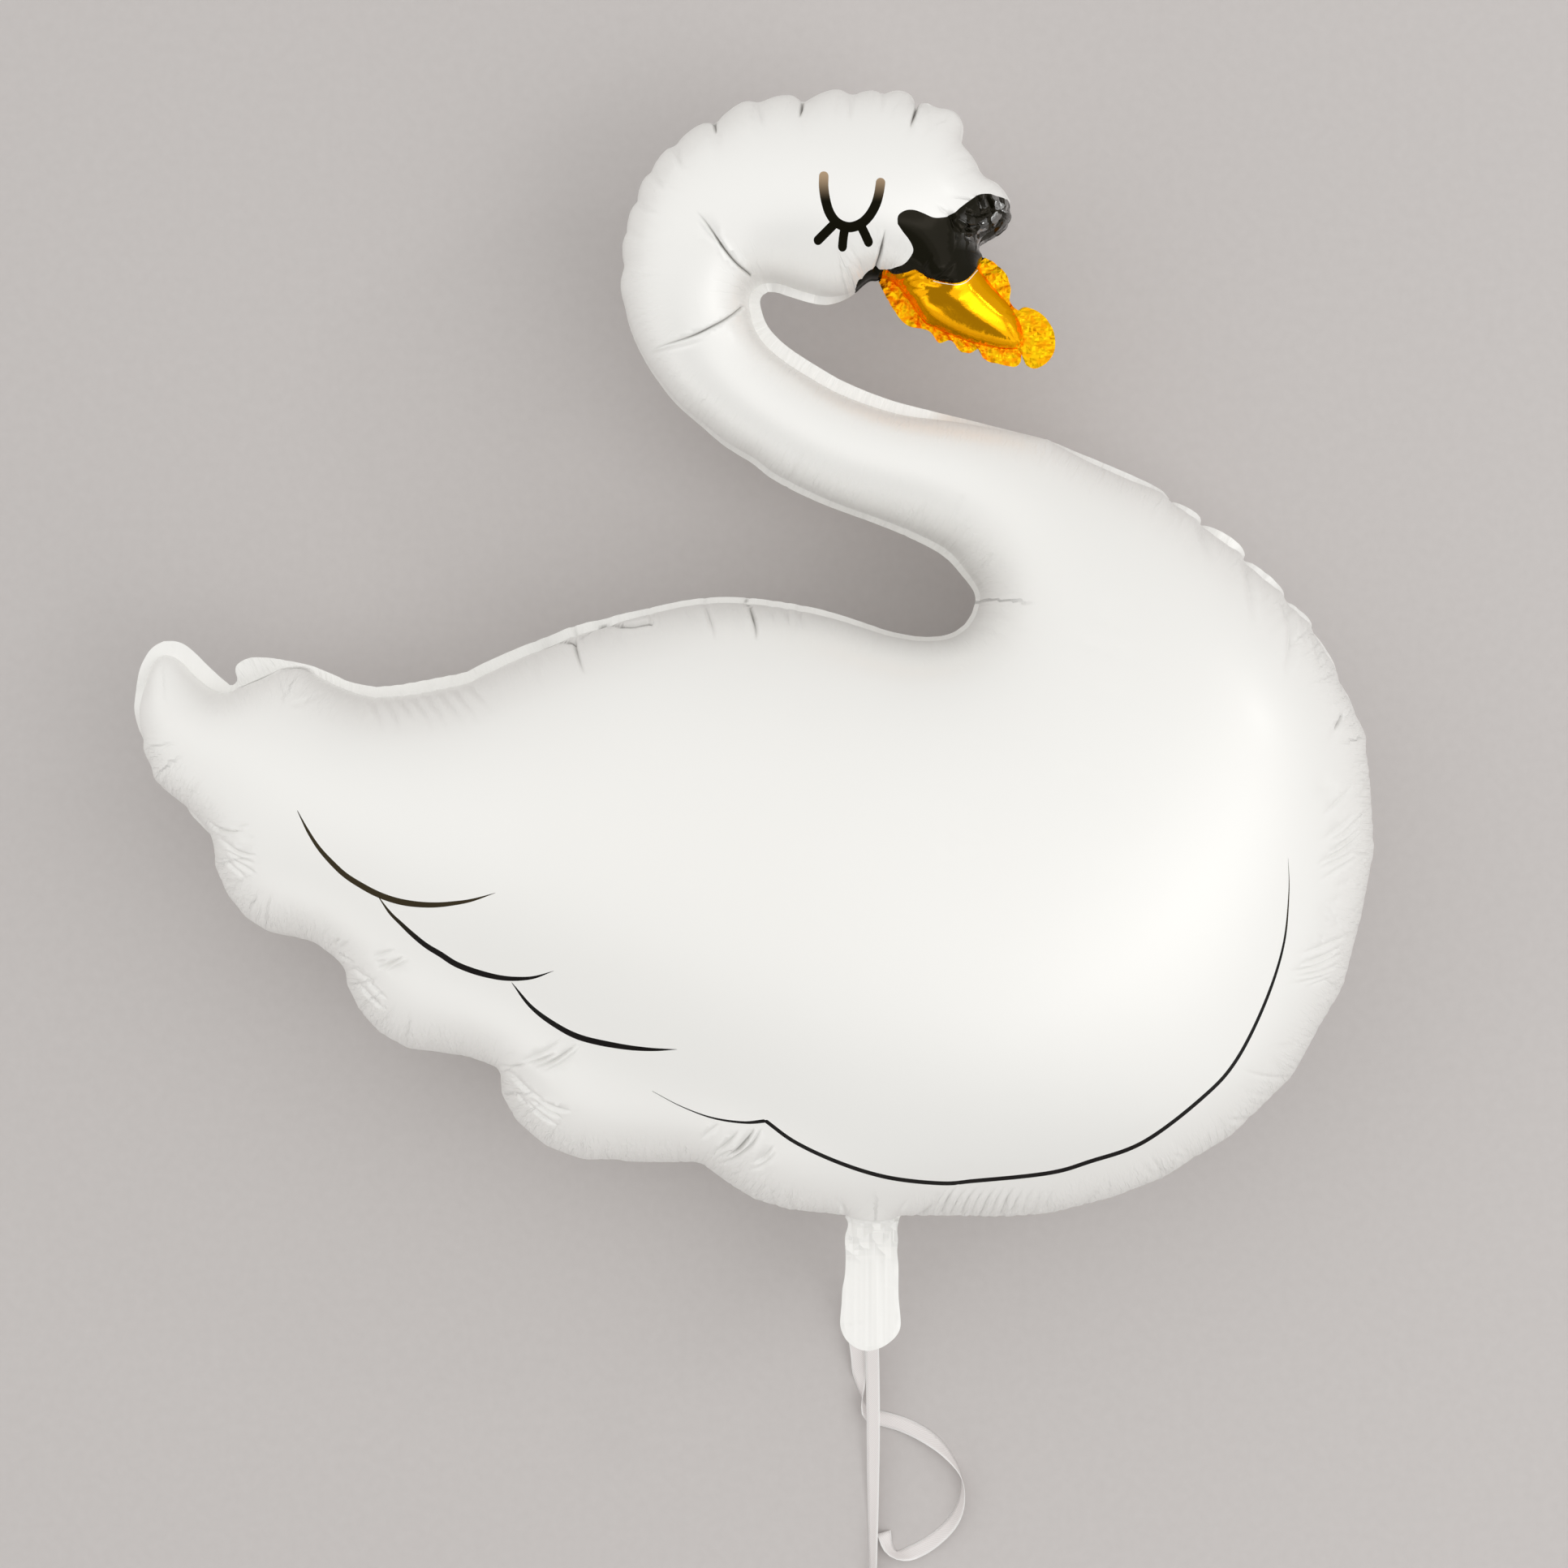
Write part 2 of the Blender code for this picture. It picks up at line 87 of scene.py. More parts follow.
PUCKER_RISE = (2.6, 0.75)   # how steeply a pucker rises from its first valley
PUCKER_FALL = (10, 0.55)    # and falls to its second
VALLEY_TAPER = 0.85         # how much of the flange is lost from sight down in a valley

# Each stretch of the edge: how far each pucker stands out as a share of its length (none where the edge
# is smooth), the flange that shows along it in millimetres, and its landmarks
EDGE = {
    "throat": (None, (2.5, 4, 3.5, 3, 3.5, 3),
               [(1203, 740), (1201, 729), (1186, 709), (1162, 684), (1123, 663), (1080, 645), (1008, 618),
                (954, 591), (927, 570)]),
    "neck_back": (None, (3, 1.5, 0.8, 0.6),
                  [(927, 570), (893, 549), (866, 526), (832, 496), (805, 461), (789, 434), (776, 404),
                   (769, 375), (765, 360), (764, 345), (769, 327)]),
    "nape": ((0.12, 0.15, 0.17, 0.18), (0.8, 1.2, 1.6),
             [(769, 327), (772, 287), (785, 250), (801, 214), (830, 182)]),
    "crown": ((0.22, 0.22, 0.27, 0.25, 0.21), (2, 2.4),
              [(830, 182), (880, 155), (933, 128), (988, 129), (1047, 119), (1087, 116)]),
    "crown_front": (None, (2.4, 2.4, 1.0),
                    [(1087, 116), (1092, 113), (1100, 110), (1109, 109), (1117, 111), (1124, 116),
                     (1128, 125), (1129, 137)]),
    "brow": (None, (1.0, 1.8, 1.4),
             [(1129, 137), (1130, 130), (1134, 125), (1139, 122), (1147, 128), (1157, 131), (1168, 132),
              (1178, 136), (1185, 145), (1188, 156), (1187, 166), (1184, 174)]),
    "forehead": (None, (1, 2.2, 2),
                 [(1184, 174), (1191, 183), (1200, 192), (1205, 202), (1209, 211), (1215, 217), (1228, 223),
                  (1238, 233), (1244, 243), (1246, 250)]),
    "knob": (None, (0.8, 1.2, 0.8),
             [(1246, 250), (1245, 257), (1247, 265), (1244, 273), (1240, 281), (1230, 289), (1217, 296),
              (1208, 301)]),
    "mask_side": (None, (0.6, 0.6), [(1208, 301), (1207, 308), (1213, 317)]),
    "beak_top": (None, None,
                 [(1213, 317), (1227, 325), (1240, 340), (1245, 356), (1244, 370), (1249, 379), (1255, 382)]),
    "beak_tip": (None, None,
                 [(1255, 382), (1262, 378), (1271, 380), (1284, 387), (1295, 401), (1300, 417), (1299, 433),
                  (1290, 447), (1277, 454), (1266, 451), (1261, 442), (1259, 434)]),
    "beak_foot": (None, None,
                  [(1259, 434), (1257, 447), (1249, 452), (1229, 448), (1212, 442), (1206, 430), (1195, 435),
                   (1183, 432), (1172, 420), (1157, 422), (1147, 410), (1136, 405), (1122, 403), (1107, 390),
                   (1092, 366), (1082, 345)]),
    "hook": (None, (0.6, 0.5, 0.6, 2.0),
             [(1082, 345), (1073, 345), (1066, 349), (1060, 354), (1056, 358), (1044, 367)]),
    "chin": (None, (2.0, 4.5, 5.5, 5.5, 5),
             [(1044, 367), (1024, 374), (1004, 374), (977, 367), (955, 359), (943, 360)]),
    "neck_front": (None, (6, 8.5, 8.5, 8, 7, 4, 2, 1),
                   [(943, 360), (937, 368), (938, 382), (947, 404), (970, 427), (1008, 452), (1046, 473),
                    (1107, 496), (1188, 515), (1257, 532), (1291, 540)]),
    "shoulder_slope": (None, (1.5, 4, 4.5, 2),
                       [(1291, 540), (1325, 555), (1382, 579), (1431, 602), (1443, 617)]),
    "shoulder": ((0.165, 0.165, 0.14, 0.17), (3.8, 5.9, 6.0, 4.4, 3.8),
                 [(1443, 617), (1481, 646), (1534, 690), (1583, 740), (1617, 777)]),
    "shoulder_foot": ((0.11, 0.095), (3.8, 3.2, 2.8), [(1617, 777), (1647, 835), (1668, 877)]),
    "breast": ((0.15, 0.02, 0.01, 0.11, 0.025, 0.02) + (0.018,) * 6, (2.6, 0.8, 1.0, 0.6, 0.6, 0.6, 0.6, 0.6),
               [(1668, 877), (1681, 915), (1685, 960), (1689, 1027), (1687, 1060), (1668, 1148), (1650, 1218),
                (1625, 1258), (1587, 1327), (1563, 1350), (1509, 1401), (1466, 1426), (1432, 1449)]),
    "underside": ((0.010,) * 5, (0.6, 0.6),
                  [(1432, 1449), (1366, 1474), (1290, 1493), (1233, 1498), (1180, 1496), (1108, 1495)]),
    "tab": (None, (2.5, 2.5),
            [(1108, 1495), (1108, 1503), (1105, 1514), (1107, 1529), (1105, 1539), (1107, 1560), (1107, 1595),
             (1109, 1618), (1110, 1631), (1108, 1641), (1100, 1651), (1089, 1659), (1076, 1664), (1067, 1665),
             (1055, 1661), (1044, 1653), (1037, 1641), (1035, 1629), (1037, 1607), (1038, 1586), (1041, 1573),
             (1042, 1547), (1041, 1529), (1042, 1518), (1046, 1511), (1044, 1503), (1042, 1495)]),
    "belly": ((0.018,) * 4, (0.6, 0.6), [(1042, 1495), (966, 1487), (927, 1475), (893, 1453), (862, 1429)]),
    "wing_root": ((0.035,) * 6, (0.6, 0.6, 0.7, 1.4),
                  [(862, 1429), (763, 1427), (717, 1427), (671, 1409), (634, 1376), (617, 1344),
                   (617, 1315)]),
    "wing_middle": ((0.030,) * 7, (1.2, 0.6, 0.6, 2.0),
                    [(617, 1315), (582, 1302), (545, 1296), (503, 1291), (466, 1269), (442, 1241),
                     (427, 1211), (425, 1190)]),
    "wing_tip": ((0.030,) * 7, (1.8, 0.8, 0.8, 1.0, 2.4),
                 [(425, 1190), (393, 1163), (370, 1156), (331, 1148), (304, 1131), (280, 1100),
                  (265, 1066), (262, 1032)]),
    "tail_under": ((0.05, 0.05, 0.03, 0.17), (2.8, 3.0, 1.4, 1.4, 1.6),
                   [(262, 1032), (228, 993), (189, 959), (185, 943), (177, 914)]),
    "tail": (None, (1.6, 4.0, 5.4, 6.4, 8.4),
             [(177, 914), (169, 898), (164, 872), (168, 845), (173, 822), (181, 806), (190, 796),
              (202, 790)]),
    "tail_top": (None, None,
                 [(202, 790), (215, 790), (227, 794), (240, 804), (256, 820), (270, 833), (283, 844)]),
    "rump": (None, None,
             [(283, 844), (288, 843), (292, 837), (290, 827), (291, 820), (298, 814), (309, 810), (323, 810),
              (344, 812), (370, 817), (386, 821), (401, 827), (415, 833), (428, 839), (442, 843)]),
    "back": (None, (6, 7.5, 7, 6.5, 6, 4.2, 4, 4, 4, 3.5, 3, 2.5),
             [(442, 843), (466, 846), (502, 842), (550, 833), (574, 828), (598, 816), (646, 795), (694, 776),
              (742, 762), (794, 750), (846, 739), (893, 735), (940, 738), (996, 747), (1035, 757),
              (1080, 772), (1095, 777), (1134, 784), (1170, 781), (1193, 764), (1203, 740)]),
}
# Where the flange is wide its seal has a line of its own: round the bill, on the tail, and on the rump,
# where a flap of flat film stands up
OWN_SEAL = {
    "tail_top": [(204, 807), (213, 809), (224, 816), (237, 830), (252, 843), (266, 852), (280, 855)],
    "rump": [(280, 855), (288, 851), (296, 846), (303, 843), (319, 836), (336, 829), (352, 822), (370, 821),
             (380, 823), (392, 833), (405, 840), (420, 847), (441, 855)],
    "beak_top": [(1210, 319), (1207, 333), (1217, 347), (1229, 361), (1242, 375), (1250, 386)],
    "beak_tip": [(1250, 386), (1256, 396), (1260, 408), (1261, 420), (1256, 430)],
    "beak_foot": [(1256, 430), (1235, 430), (1208, 425), (1190, 420), (1172, 413), (1152, 404), (1138, 397),
                  (1121, 372), (1103, 350), (1087, 342)],
}


def on_seam(pixel):
    """A pixel of the photograph as a place on the seam plane."""
    return TAB_ROOT + Vector((pixel[0] - TAB_ROOT_PIXEL[0], TAB_ROOT_PIXEL[1] - pixel[1])) * PHOTO_PIXEL


def smooth_line(points, step=None, count=None):
    """Rows on a smooth curve through the given rows, about a step apart or a given number of them."""
    knots = np.array([tuple(point) for point in points], dtype=float)
    knots = np.vstack([2 * knots[0] - knots[1], knots, 2 * knots[-1] - knots[-2]])
    t = np.linspace(0, 1, 16, endpoint=False)[:, None]
    spans = []
    for before, start, end, after in zip(knots, knots[1:], knots[2:], knots[3:]):
        spans.append(0.5 * (2 * start + (end - before) * t
                            + (2 * before - 5 * start + 4 * end - after) * t ** 2
                            + (3 * start - before - 3 * end + after) * t ** 3))
    walked = np.vstack(spans + [knots[-2:-1]])
    ways = min(walked.shape[1], 3)
    travelled = np.concatenate([[0], np.cumsum(np.linalg.norm(np.diff(walked[:, :ways], axis=0), axis=1))])
    count = count or max(2, round(travelled[-1] / step))
    marks = np.linspace(0, travelled[-1], count + 1)
    return np.array([np.interp(marks, travelled, column) for column in walked.T]).T


def puckered_line(valleys, rises, step):
    """Arches between valleys, fuller towards their far end: the places, how sharply the film is folded at
    each, and how far down in a valley each is."""
    places, folds, valleys_near = [], [], []
    for start, end, rise in zip(valleys, valleys[1:], rises):
        chord = end - start
        outward = np.array([-chord[1], chord[0]])
        share = np.linspace(0, 1, max(3, round(np.hypot(*chord) / step)), endpoint=False)[:, None]
        risen = (1 - (1 - share) ** PUCKER_RISE[0]) ** PUCKER_RISE[1]
        arch = risen * (1 - share ** PUCKER_FALL[0]) ** PUCKER_FALL[1]
        places.append(start + chord * share + outward * rise * arch)
        folds.append((1 - arch[:, 0]) ** 3 * rise)
        valleys_near.append(np.maximum((1 - arch) ** 2, 1 - np.sqrt(4 * share * (1 - share)))[:, 0])
    return np.vstack(places), np.concatenate(folds), np.concatenate(valleys_near)


def turned_out(places, spread=2):
    """The outward direction at each place of a clockwise closed line, evened over its neighbours."""
    along = np.roll(places, -1, axis=0) - np.roll(places, 1, axis=0)
    along /= np.linalg.norm(along, axis=1)[:, None]
    evened = sum(np.roll(along, shift, axis=0) for shift in range(-spread, spread + 1))
    evened /= np.linalg.norm(evened, axis=1)[:, None]
    return np.column_stack([-evened[:, 1], evened[:, 0]])


rims, seals, folds, shown, stretch_of = [], [], [], [], []
for name, (rises, widths, pixels) in EDGE.items():
    landmarks = np.array([on_seam(pixel) for pixel in pixels])
    if rises:
        rim, fold, valley = puckered_line(landmarks, rises, EDGE_STEP)
    else:
        rim = smooth_line(landmarks, FINE_STEP if name in FINE_STRETCHES else EDGE_STEP)[:-1]
        fold = valley = np.zeros(len(rim))
    share = np.arange(len(rim)) / len(rim)
    rims.append(rim)
    folds.append(fold)
    stretch_of += [name] * len(rim)
    if name in OWN_SEAL:
        seals.append(smooth_line([on_seam(pixel) for pixel in OWN_SEAL[name]], count=len(rim))[:-1])
        shown.append(np.full(len(rim), np.nan))
    else:
        seals.append(rim)
        width = np.interp(share, np.linspace(0, 1, len(widths)), widths) / 1000
        shown.append(width * (1 - VALLEY_TAPER * valley))
rim_line = np.vstack(rims)
fold_line = np.concatenate(folds)
shown_line = np.concatenate(shown)
stretch_of = np.array(stretch_of)
seal_line = np.vstack(seals)
own_seal = np.isnan(shown_line)
rim_out = turned_out(rim_line)
seal_line[~own_seal] -= (rim_out * shown_line[:, None])[~own_seal]
for passes in range(3):
    seal_line = (np.roll(seal_line, 1, axis=0) + 2 * seal_line + np.roll(seal_line, -1, axis=0)) / 4
    fold_line = (np.roll(fold_line, 1) + 2 * fold_line + np.roll(fold_line, -1)) / 4
seal_out = turned_out(seal_line, 3)
shown_line[own_seal] = np.linalg.norm(rim_line - seal_line, axis=1)[own_seal]


# Filling the sheets
# Gas pulls both sheets tight between their seals. Film bends easily but hardly stretches, so each
# sheet takes the rise of a membrane under even load, with its root taken, and leaves the seal upright.
LOFT_LIMIT = 0.195          # half thickness that an endlessly wide body would reach
FOIL_GAP = 0.00015          # from the seam plane to either sheet at the seal
BAND_WIDTH = 0.003          # the band beside the seal, which is made in rows
FINE_BAND_WIDTH = 0.0013
BAND_ROWS = 4
CLEAR_OF_BAND = 0.0003
CLEAR_OF_LINES = 0.4        # in steps of the grid
SOLVED_TO = 1e-11           # the share of the load that may be left over
TAB_FADE = {1: 0.0016, -1: 0.0010}      # how fast the front and the back sheet run out into the tab
PLAIN_ZONES = [(0.030, 0.006), (1, 0.012)]

band_line = np.where(np.isin(stretch_of, FINE_STRETCHES), FINE_BAND_WIDTH, BAND_WIDTH)
for passes in range(12):
    band_line = (np.roll(band_line, 1) + band_line + np.roll(band_line, -1)) / 3
seal_tree = KDTree(len(seal_line))
for i, place in enumerate(seal_line):
    seal_tree.insert((*place, 0), i)
seal_tree.balance()


def behind_seal(places):
    """How far inside the seal each place is, below zero outside, and the nearest seal place's number."""
    near = np.array([seal_tree.find((x, y, 0))[1] for x, y in places])
    reach = places - seal_line[near]
    far = np.linalg.norm(reach, axis=1)
    inside = np.sum(reach * seal_out[near], axis=1) < 0
    return np.where(inside, far, -far), near


def grid_inside(step, least, most):
    """A triangular grid of places between two depths behind the seal, clear of the band."""
    low, high = seal_line.min(axis=0), seal_line.max(axis=0)
    row_step = step * math.sqrt(3) / 2
    rows, columns = int((high[1] - low[1]) / row_step) + 1, int((high[0] - low[0]) / step) + 1
    row, column = np.divmod(np.arange(rows * columns), columns)
    places = np.column_stack([low[0] + (column + row % 2 / 2) * step, low[1] + row * row_step])
    depth, near = behind_seal(places)
    return places[(depth > least) & (depth <= most) & (depth > band_line[near] + 0.5 * step)]


def cut_sheet(zones, prints=(), folds=()):
    """The flat sheet inside its band, with the outlines of the prints and the lines of the folds as edges:
    places and triangles. Each zone is how far it reaches behind the seal, and its grid's step. The first
    places are those of the band's inner line, in the seal's order."""
    ring = seal_line - seal_out * band_line[:, None]
    groups = [ring]
    bounds = [(i, (i + 1) % len(ring)) for i in range(len(ring))]
    total = len(ring)
    lines = [np.vstack([outline, outline[:1]]) for outline in prints] + list(folds)
    for line in lines:
        depth, near = behind_seal(line)
        drawn = depth > band_line[near] + CLEAR_OF_BAND
        numbers = total + np.cumsum(drawn) - 1
        for i in range(len(line) - 1):
            if drawn[i] and drawn[i + 1]:
                bounds.append((int(numbers[i]), int(numbers[i + 1])))
        groups.append(line[drawn])
        total += int(drawn.sum())
    grids = []
    start = 0
    for reach, step in zones:
        grids.append((step, grid_inside(step, start + 0.5 * step, reach)))
        start = reach
    if lines:
        drawn_places = np.vstack(groups[1:])
        line_tree = KDTree(len(drawn_places))
        for i, place in enumerate(drawn_places):
            line_tree.insert((*place, 0), i)
        line_tree.balance()
        for i, (step, grid) in enumerate(grids):
            clear = [line_tree.find((x, y, 0))[2] > CLEAR_OF_LINES * step for x, y in grid]
            grids[i] = (step, grid[np.array(clear)])
    grid = np.vstack([grid for step, grid in grids])
    groups.append(grid)
    found = delaunay_2d_cdt([Vector(place) for place in np.vstack(groups)], bounds, [], 1, 1e-7)
    places = np.array([tuple(place) for place in found[0]])
    source = np.array([min(origins) if origins else total for origins in found[3]])
    order = np.argsort(source, kind="stable")
    moved = np.empty(len(order), dtype=int)
    moved[order] = np.arange(len(order))
    return places[order], moved[np.array(found[2])]


def filled_rise(places, triangles):
    """How far a filled sheet rises at each place, before the root is taken."""
    size = len(places)
    firsts, seconds, weights = [], [], []
    load = np.zeros(size)
    pressed_on = places[triangles].mean(axis=1)[:, 1] > TAB_ROOT.y
    for corner in range(3):
        tip, left, right = (triangles[:, (corner + turn) % 3] for turn in range(3))
        to_left, to_right = places[left] - places[tip], places[right] - places[tip]
        twice_area = np.abs(to_left[:, 0] * to_right[:, 1] - to_left[:, 1] * to_right[:, 0])
        firsts.append(left)
        seconds.append(right)
        weights.append(0.5 * np.sum(to_left * to_right, axis=1) / twice_area)
        load += np.bincount(tip, pressed_on * twice_area / 6, size)
    first, second, weight = np.concatenate(firsts), np.concatenate(seconds), np.concatenate(weights)
    held = np.zeros(size)
    ring = places[:len(seal_line)]
    held[:len(ring)] = np.linalg.norm(np.roll(ring, -1, axis=0) - ring, axis=1) / band_line

    def pull(rise):
        flow = weight * (rise[first] - rise[second])
        return np.bincount(first, flow, size) - np.bincount(second, flow, size) + held * rise

    stiff = np.bincount(first, weight, size) + np.bincount(second, weight, size) + held
    rise = np.zeros(size)
    rest = load.copy()
    eased = rest / stiff
    step = eased.copy()
    energy = rest @ eased
    limit = energy * SOLVED_TO
    while energy > limit:
        change = pull(step)
        share = energy / (step @ change)
        rise += share * step
        rest -= share * change
        eased = rest / stiff
        fresh = rest @ eased
        step = eased + fresh / energy * step
        energy = fresh
    return np.maximum(rise, 0)


def loft(rise):
    """The height of a sheet above the seam plane from its rise."""
    height = np.sqrt(2 * rise)
    return height / np.sqrt(1 + (height / LOFT_LIMIT) ** 2)


def into_tab(places, side):
    """How the height falls off where the body runs into the flat tab."""
    return np.exp(-np.maximum(TAB_ROOT.y - places[:, 1], 0) / TAB_FADE[side])


plain_places, plain_triangles = cut_sheet(PLAIN_ZONES)
plain_heights = loft(filled_rise(plain_places, plain_triangles)) * into_tab(plain_places, 1)
plain_sheet = BVHTree.FromPolygons(
    [(x, y, SEAM_HEIGHT + z) for (x, y), z in zip(plain_places, plain_heights)], plain_triangles.tolist())
LENS = Vector((*on_seam(VIEW_MIDDLE_PIXEL), SEAM_HEIGHT + LENS_ABOVE_SEAM))


def on_sheet(pixels):
    """Where the front sheet lies under each pixel of the photograph, as places on the flat cut."""
    places = []
    for pixel in pixels:
        target = Vector((*on_seam(pixel[:2]), SEAM_HEIGHT))
        hit = plain_sheet.ray_cast(LENS, (target - LENS).normalized())[0]
        places.append((hit or target)[:2])
    return np.array(places)


# The print
# Printed on both sheets before they are cut: a black mask round the bill's root and over its knob, a
# gold bill, one closed eye with lashes, and the feather lines along the wing and the breast.
PRINT_STEP = 0.0011
EYE_WIDTH = 0.0056
LASH_WIDTH = 0.0053


def stroke(pixels, width, taper=None):
    """The outline of a brush stroke along pixels, with round ends, or drawn out fine where it tapers."""
    line = smooth_line(on_sheet(pixels), PRINT_STEP)
    heading = np.gradient(line, axis=0)
    heading /= np.linalg.norm(heading, axis=1)[:, None]
    across = np.column_stack([-heading[:, 1], heading[:, 0]])
    half = np.full(len(line), width / 2)
    if taper:
        half *= np.interp(np.linspace(0, 1, len(line)), *taper)
        return np.vstack([line[:1], (line + across * half[:, None])[1:-1], line[-1:],
                          (line - across * half[:, None])[-2:0:-1]])
    turn = np.linspace(math.pi / 2, -math.pi / 2, 9)[1:-1, None]
    end = line[-1] + width / 2 * (np.cos(turn) * heading[-1] + np.sin(turn) * across[-1])
    start = line[0] - width / 2 * (np.cos(turn) * heading[0] + np.sin(turn) * across[0])
    return np.vstack([line + across * half[:, None], end, (line - across * half[:, None])[::-1], start])


def patch(pixels):
    """A closed printed area through pixels."""
    closed = on_sheet(pixels + pixels[:1])
    return smooth_line(closed, PRINT_STEP)[:-1]


MASK_FOOT = [(1213, 318), (1206, 327), (1200, 335), (1192, 344), (1180, 349), (1165, 348), (1147, 344),
             (1136, 339), (1128, 333), (1117, 336), (1102, 338), (1089, 338)]
BLACK_AREAS = [
    patch([(1106, 276), (1106, 268), (1109, 263), (1117, 259), (1127, 259), (1138, 263), (1150, 268),
           (1161, 268), (1172, 265), (1183, 256), (1195, 247), (1206, 240), (1219, 239), (1233, 243),
           (1244, 249), (1262, 256), (1264, 285), (1240, 305), (1222, 310)] + MASK_FOOT
          + [(1086, 343), (1080, 352), (1070, 358), (1057, 364), (1054, 358), (1057, 350), (1062, 343),
             (1068, 337), (1076, 332.5), (1086, 333), (1095, 333), (1103, 330), (1113, 326),
             (1120, 319), (1125, 310), (1124, 303), (1119, 294), (1112, 285)]),
    stroke([(1015, 217), (1015, 232), (1018, 250), (1023, 264), (1032, 275), (1046, 280), (1060, 276),
            (1071, 266), (1079, 252), (1083, 238), (1085, 225)], EYE_WIDTH),
    stroke([(1028, 276), (1018, 286), (1008, 296)], LASH_WIDTH),
    stroke([(1041, 281), (1039, 293), (1038, 304)], LASH_WIDTH),
    stroke([(1060, 277), (1065, 287), (1070, 298)], LASH_WIDTH),
]
GOLD_AREA = patch([(1222, 310)] + MASK_FOOT
                  + [(1083, 342), (1072, 350), (1068, 366), (1100, 410), (1150, 440), (1200, 452),
                     (1250, 470), (1290, 470), (1318, 440), (1312, 395), (1280, 365), (1262, 350),
                     (1245, 320)])
# A hair's breadth without ink between the mask and the bill
MASK_RIM = stroke([(1203, 334), (1193, 346), (1181, 351), (1165, 350), (1150, 347)], 0.0004)
THIN_THICK_THIN = ([0, 0.1, 0.26, 0.45, 0.62, 0.74, 0.82, 0.9, 1],
                   [0.08, 0.5, 0.84, 1, 1, 0.84, 0.68, 0.45, 0.03])
FEATHER_LINES = [
    stroke([(366, 998), (380, 1025), (393, 1045), (408, 1062), (425, 1078), (445, 1091), (466, 1102),
            (489, 1110), (512, 1114), (536, 1115), (559, 1113), (582, 1109), (611, 1100)],
           0.0036, THIN_THICK_THIN),
    stroke([(465, 1103), (480, 1124), (494, 1138), (509, 1152), (525, 1165), (543, 1176), (560, 1187),
            (579, 1195), (599, 1201), (619, 1205), (639, 1206), (659, 1204), (683, 1196)],
           0.0035, THIN_THICK_THIN),
    stroke([(630, 1210), (655, 1241), (686, 1264), (717, 1279), (763, 1289), (801, 1293), (835, 1293)],
           0.0035, THIN_THICK_THIN),
    stroke([(803, 1344), (839, 1363), (877, 1377), (916, 1383), (944, 1381)], 0.0022,
           ([0, 0.35, 0.65, 0.82, 0.92, 1], [0.1, 0.3, 0.6, 0.7, 0.93, 1])),
    stroke([(942, 1380), (981, 1408), (1038, 1434), (1096, 1451), (1160, 1458), (1200, 1455),
            (1293, 1445), (1343, 1431), (1409, 1407), (1482, 1352), (1522, 1308), (1558, 1237),
            (1581, 1166), (1588, 1100), (1587, 1056)],
           0.00275, ([0, 0.2, 0.5, 0.66, 0.82, 0.9, 1], [0.8, 0.97, 1, 0.9, 0.7, 0.46, 0.03])),
]


def within(places, outline):
    """Which places are inside a closed outline."""
    inside = np.zeros(len(places), dtype=bool)
    near = np.flatnonzero(np.all((places > outline.min(axis=0)) & (places < outline.max(axis=0)), axis=1))
    across, up = places[near].T
    crossed = np.zeros(len(near), dtype=int)
    for start, end in zip(outline, np.roll(outline, -1, axis=0)):
        if start[1] != end[1]:
            over = (start[1] > up) != (end[1] > up)
            met = start[0] + (up - start[1]) * (end[0] - start[0]) / (end[1] - start[1])
            crossed += over & (across < met)
    inside[near] = crossed % 2 == 1
    return inside


PEARL, BLACK, GOLD, LINE = range(4)


def printed(places):
    """The colour printed at each place."""
    colour = np.full(len(places), PEARL)
    colour[within(places, GOLD_AREA)] = GOLD
    for area in BLACK_AREAS:
        colour[within(places, area)] = BLACK
    colour[within(places, MASK_RIM)] = PEARL
    for area in FEATHER_LINES:
        colour[within(places, area)] = LINE
    return colour


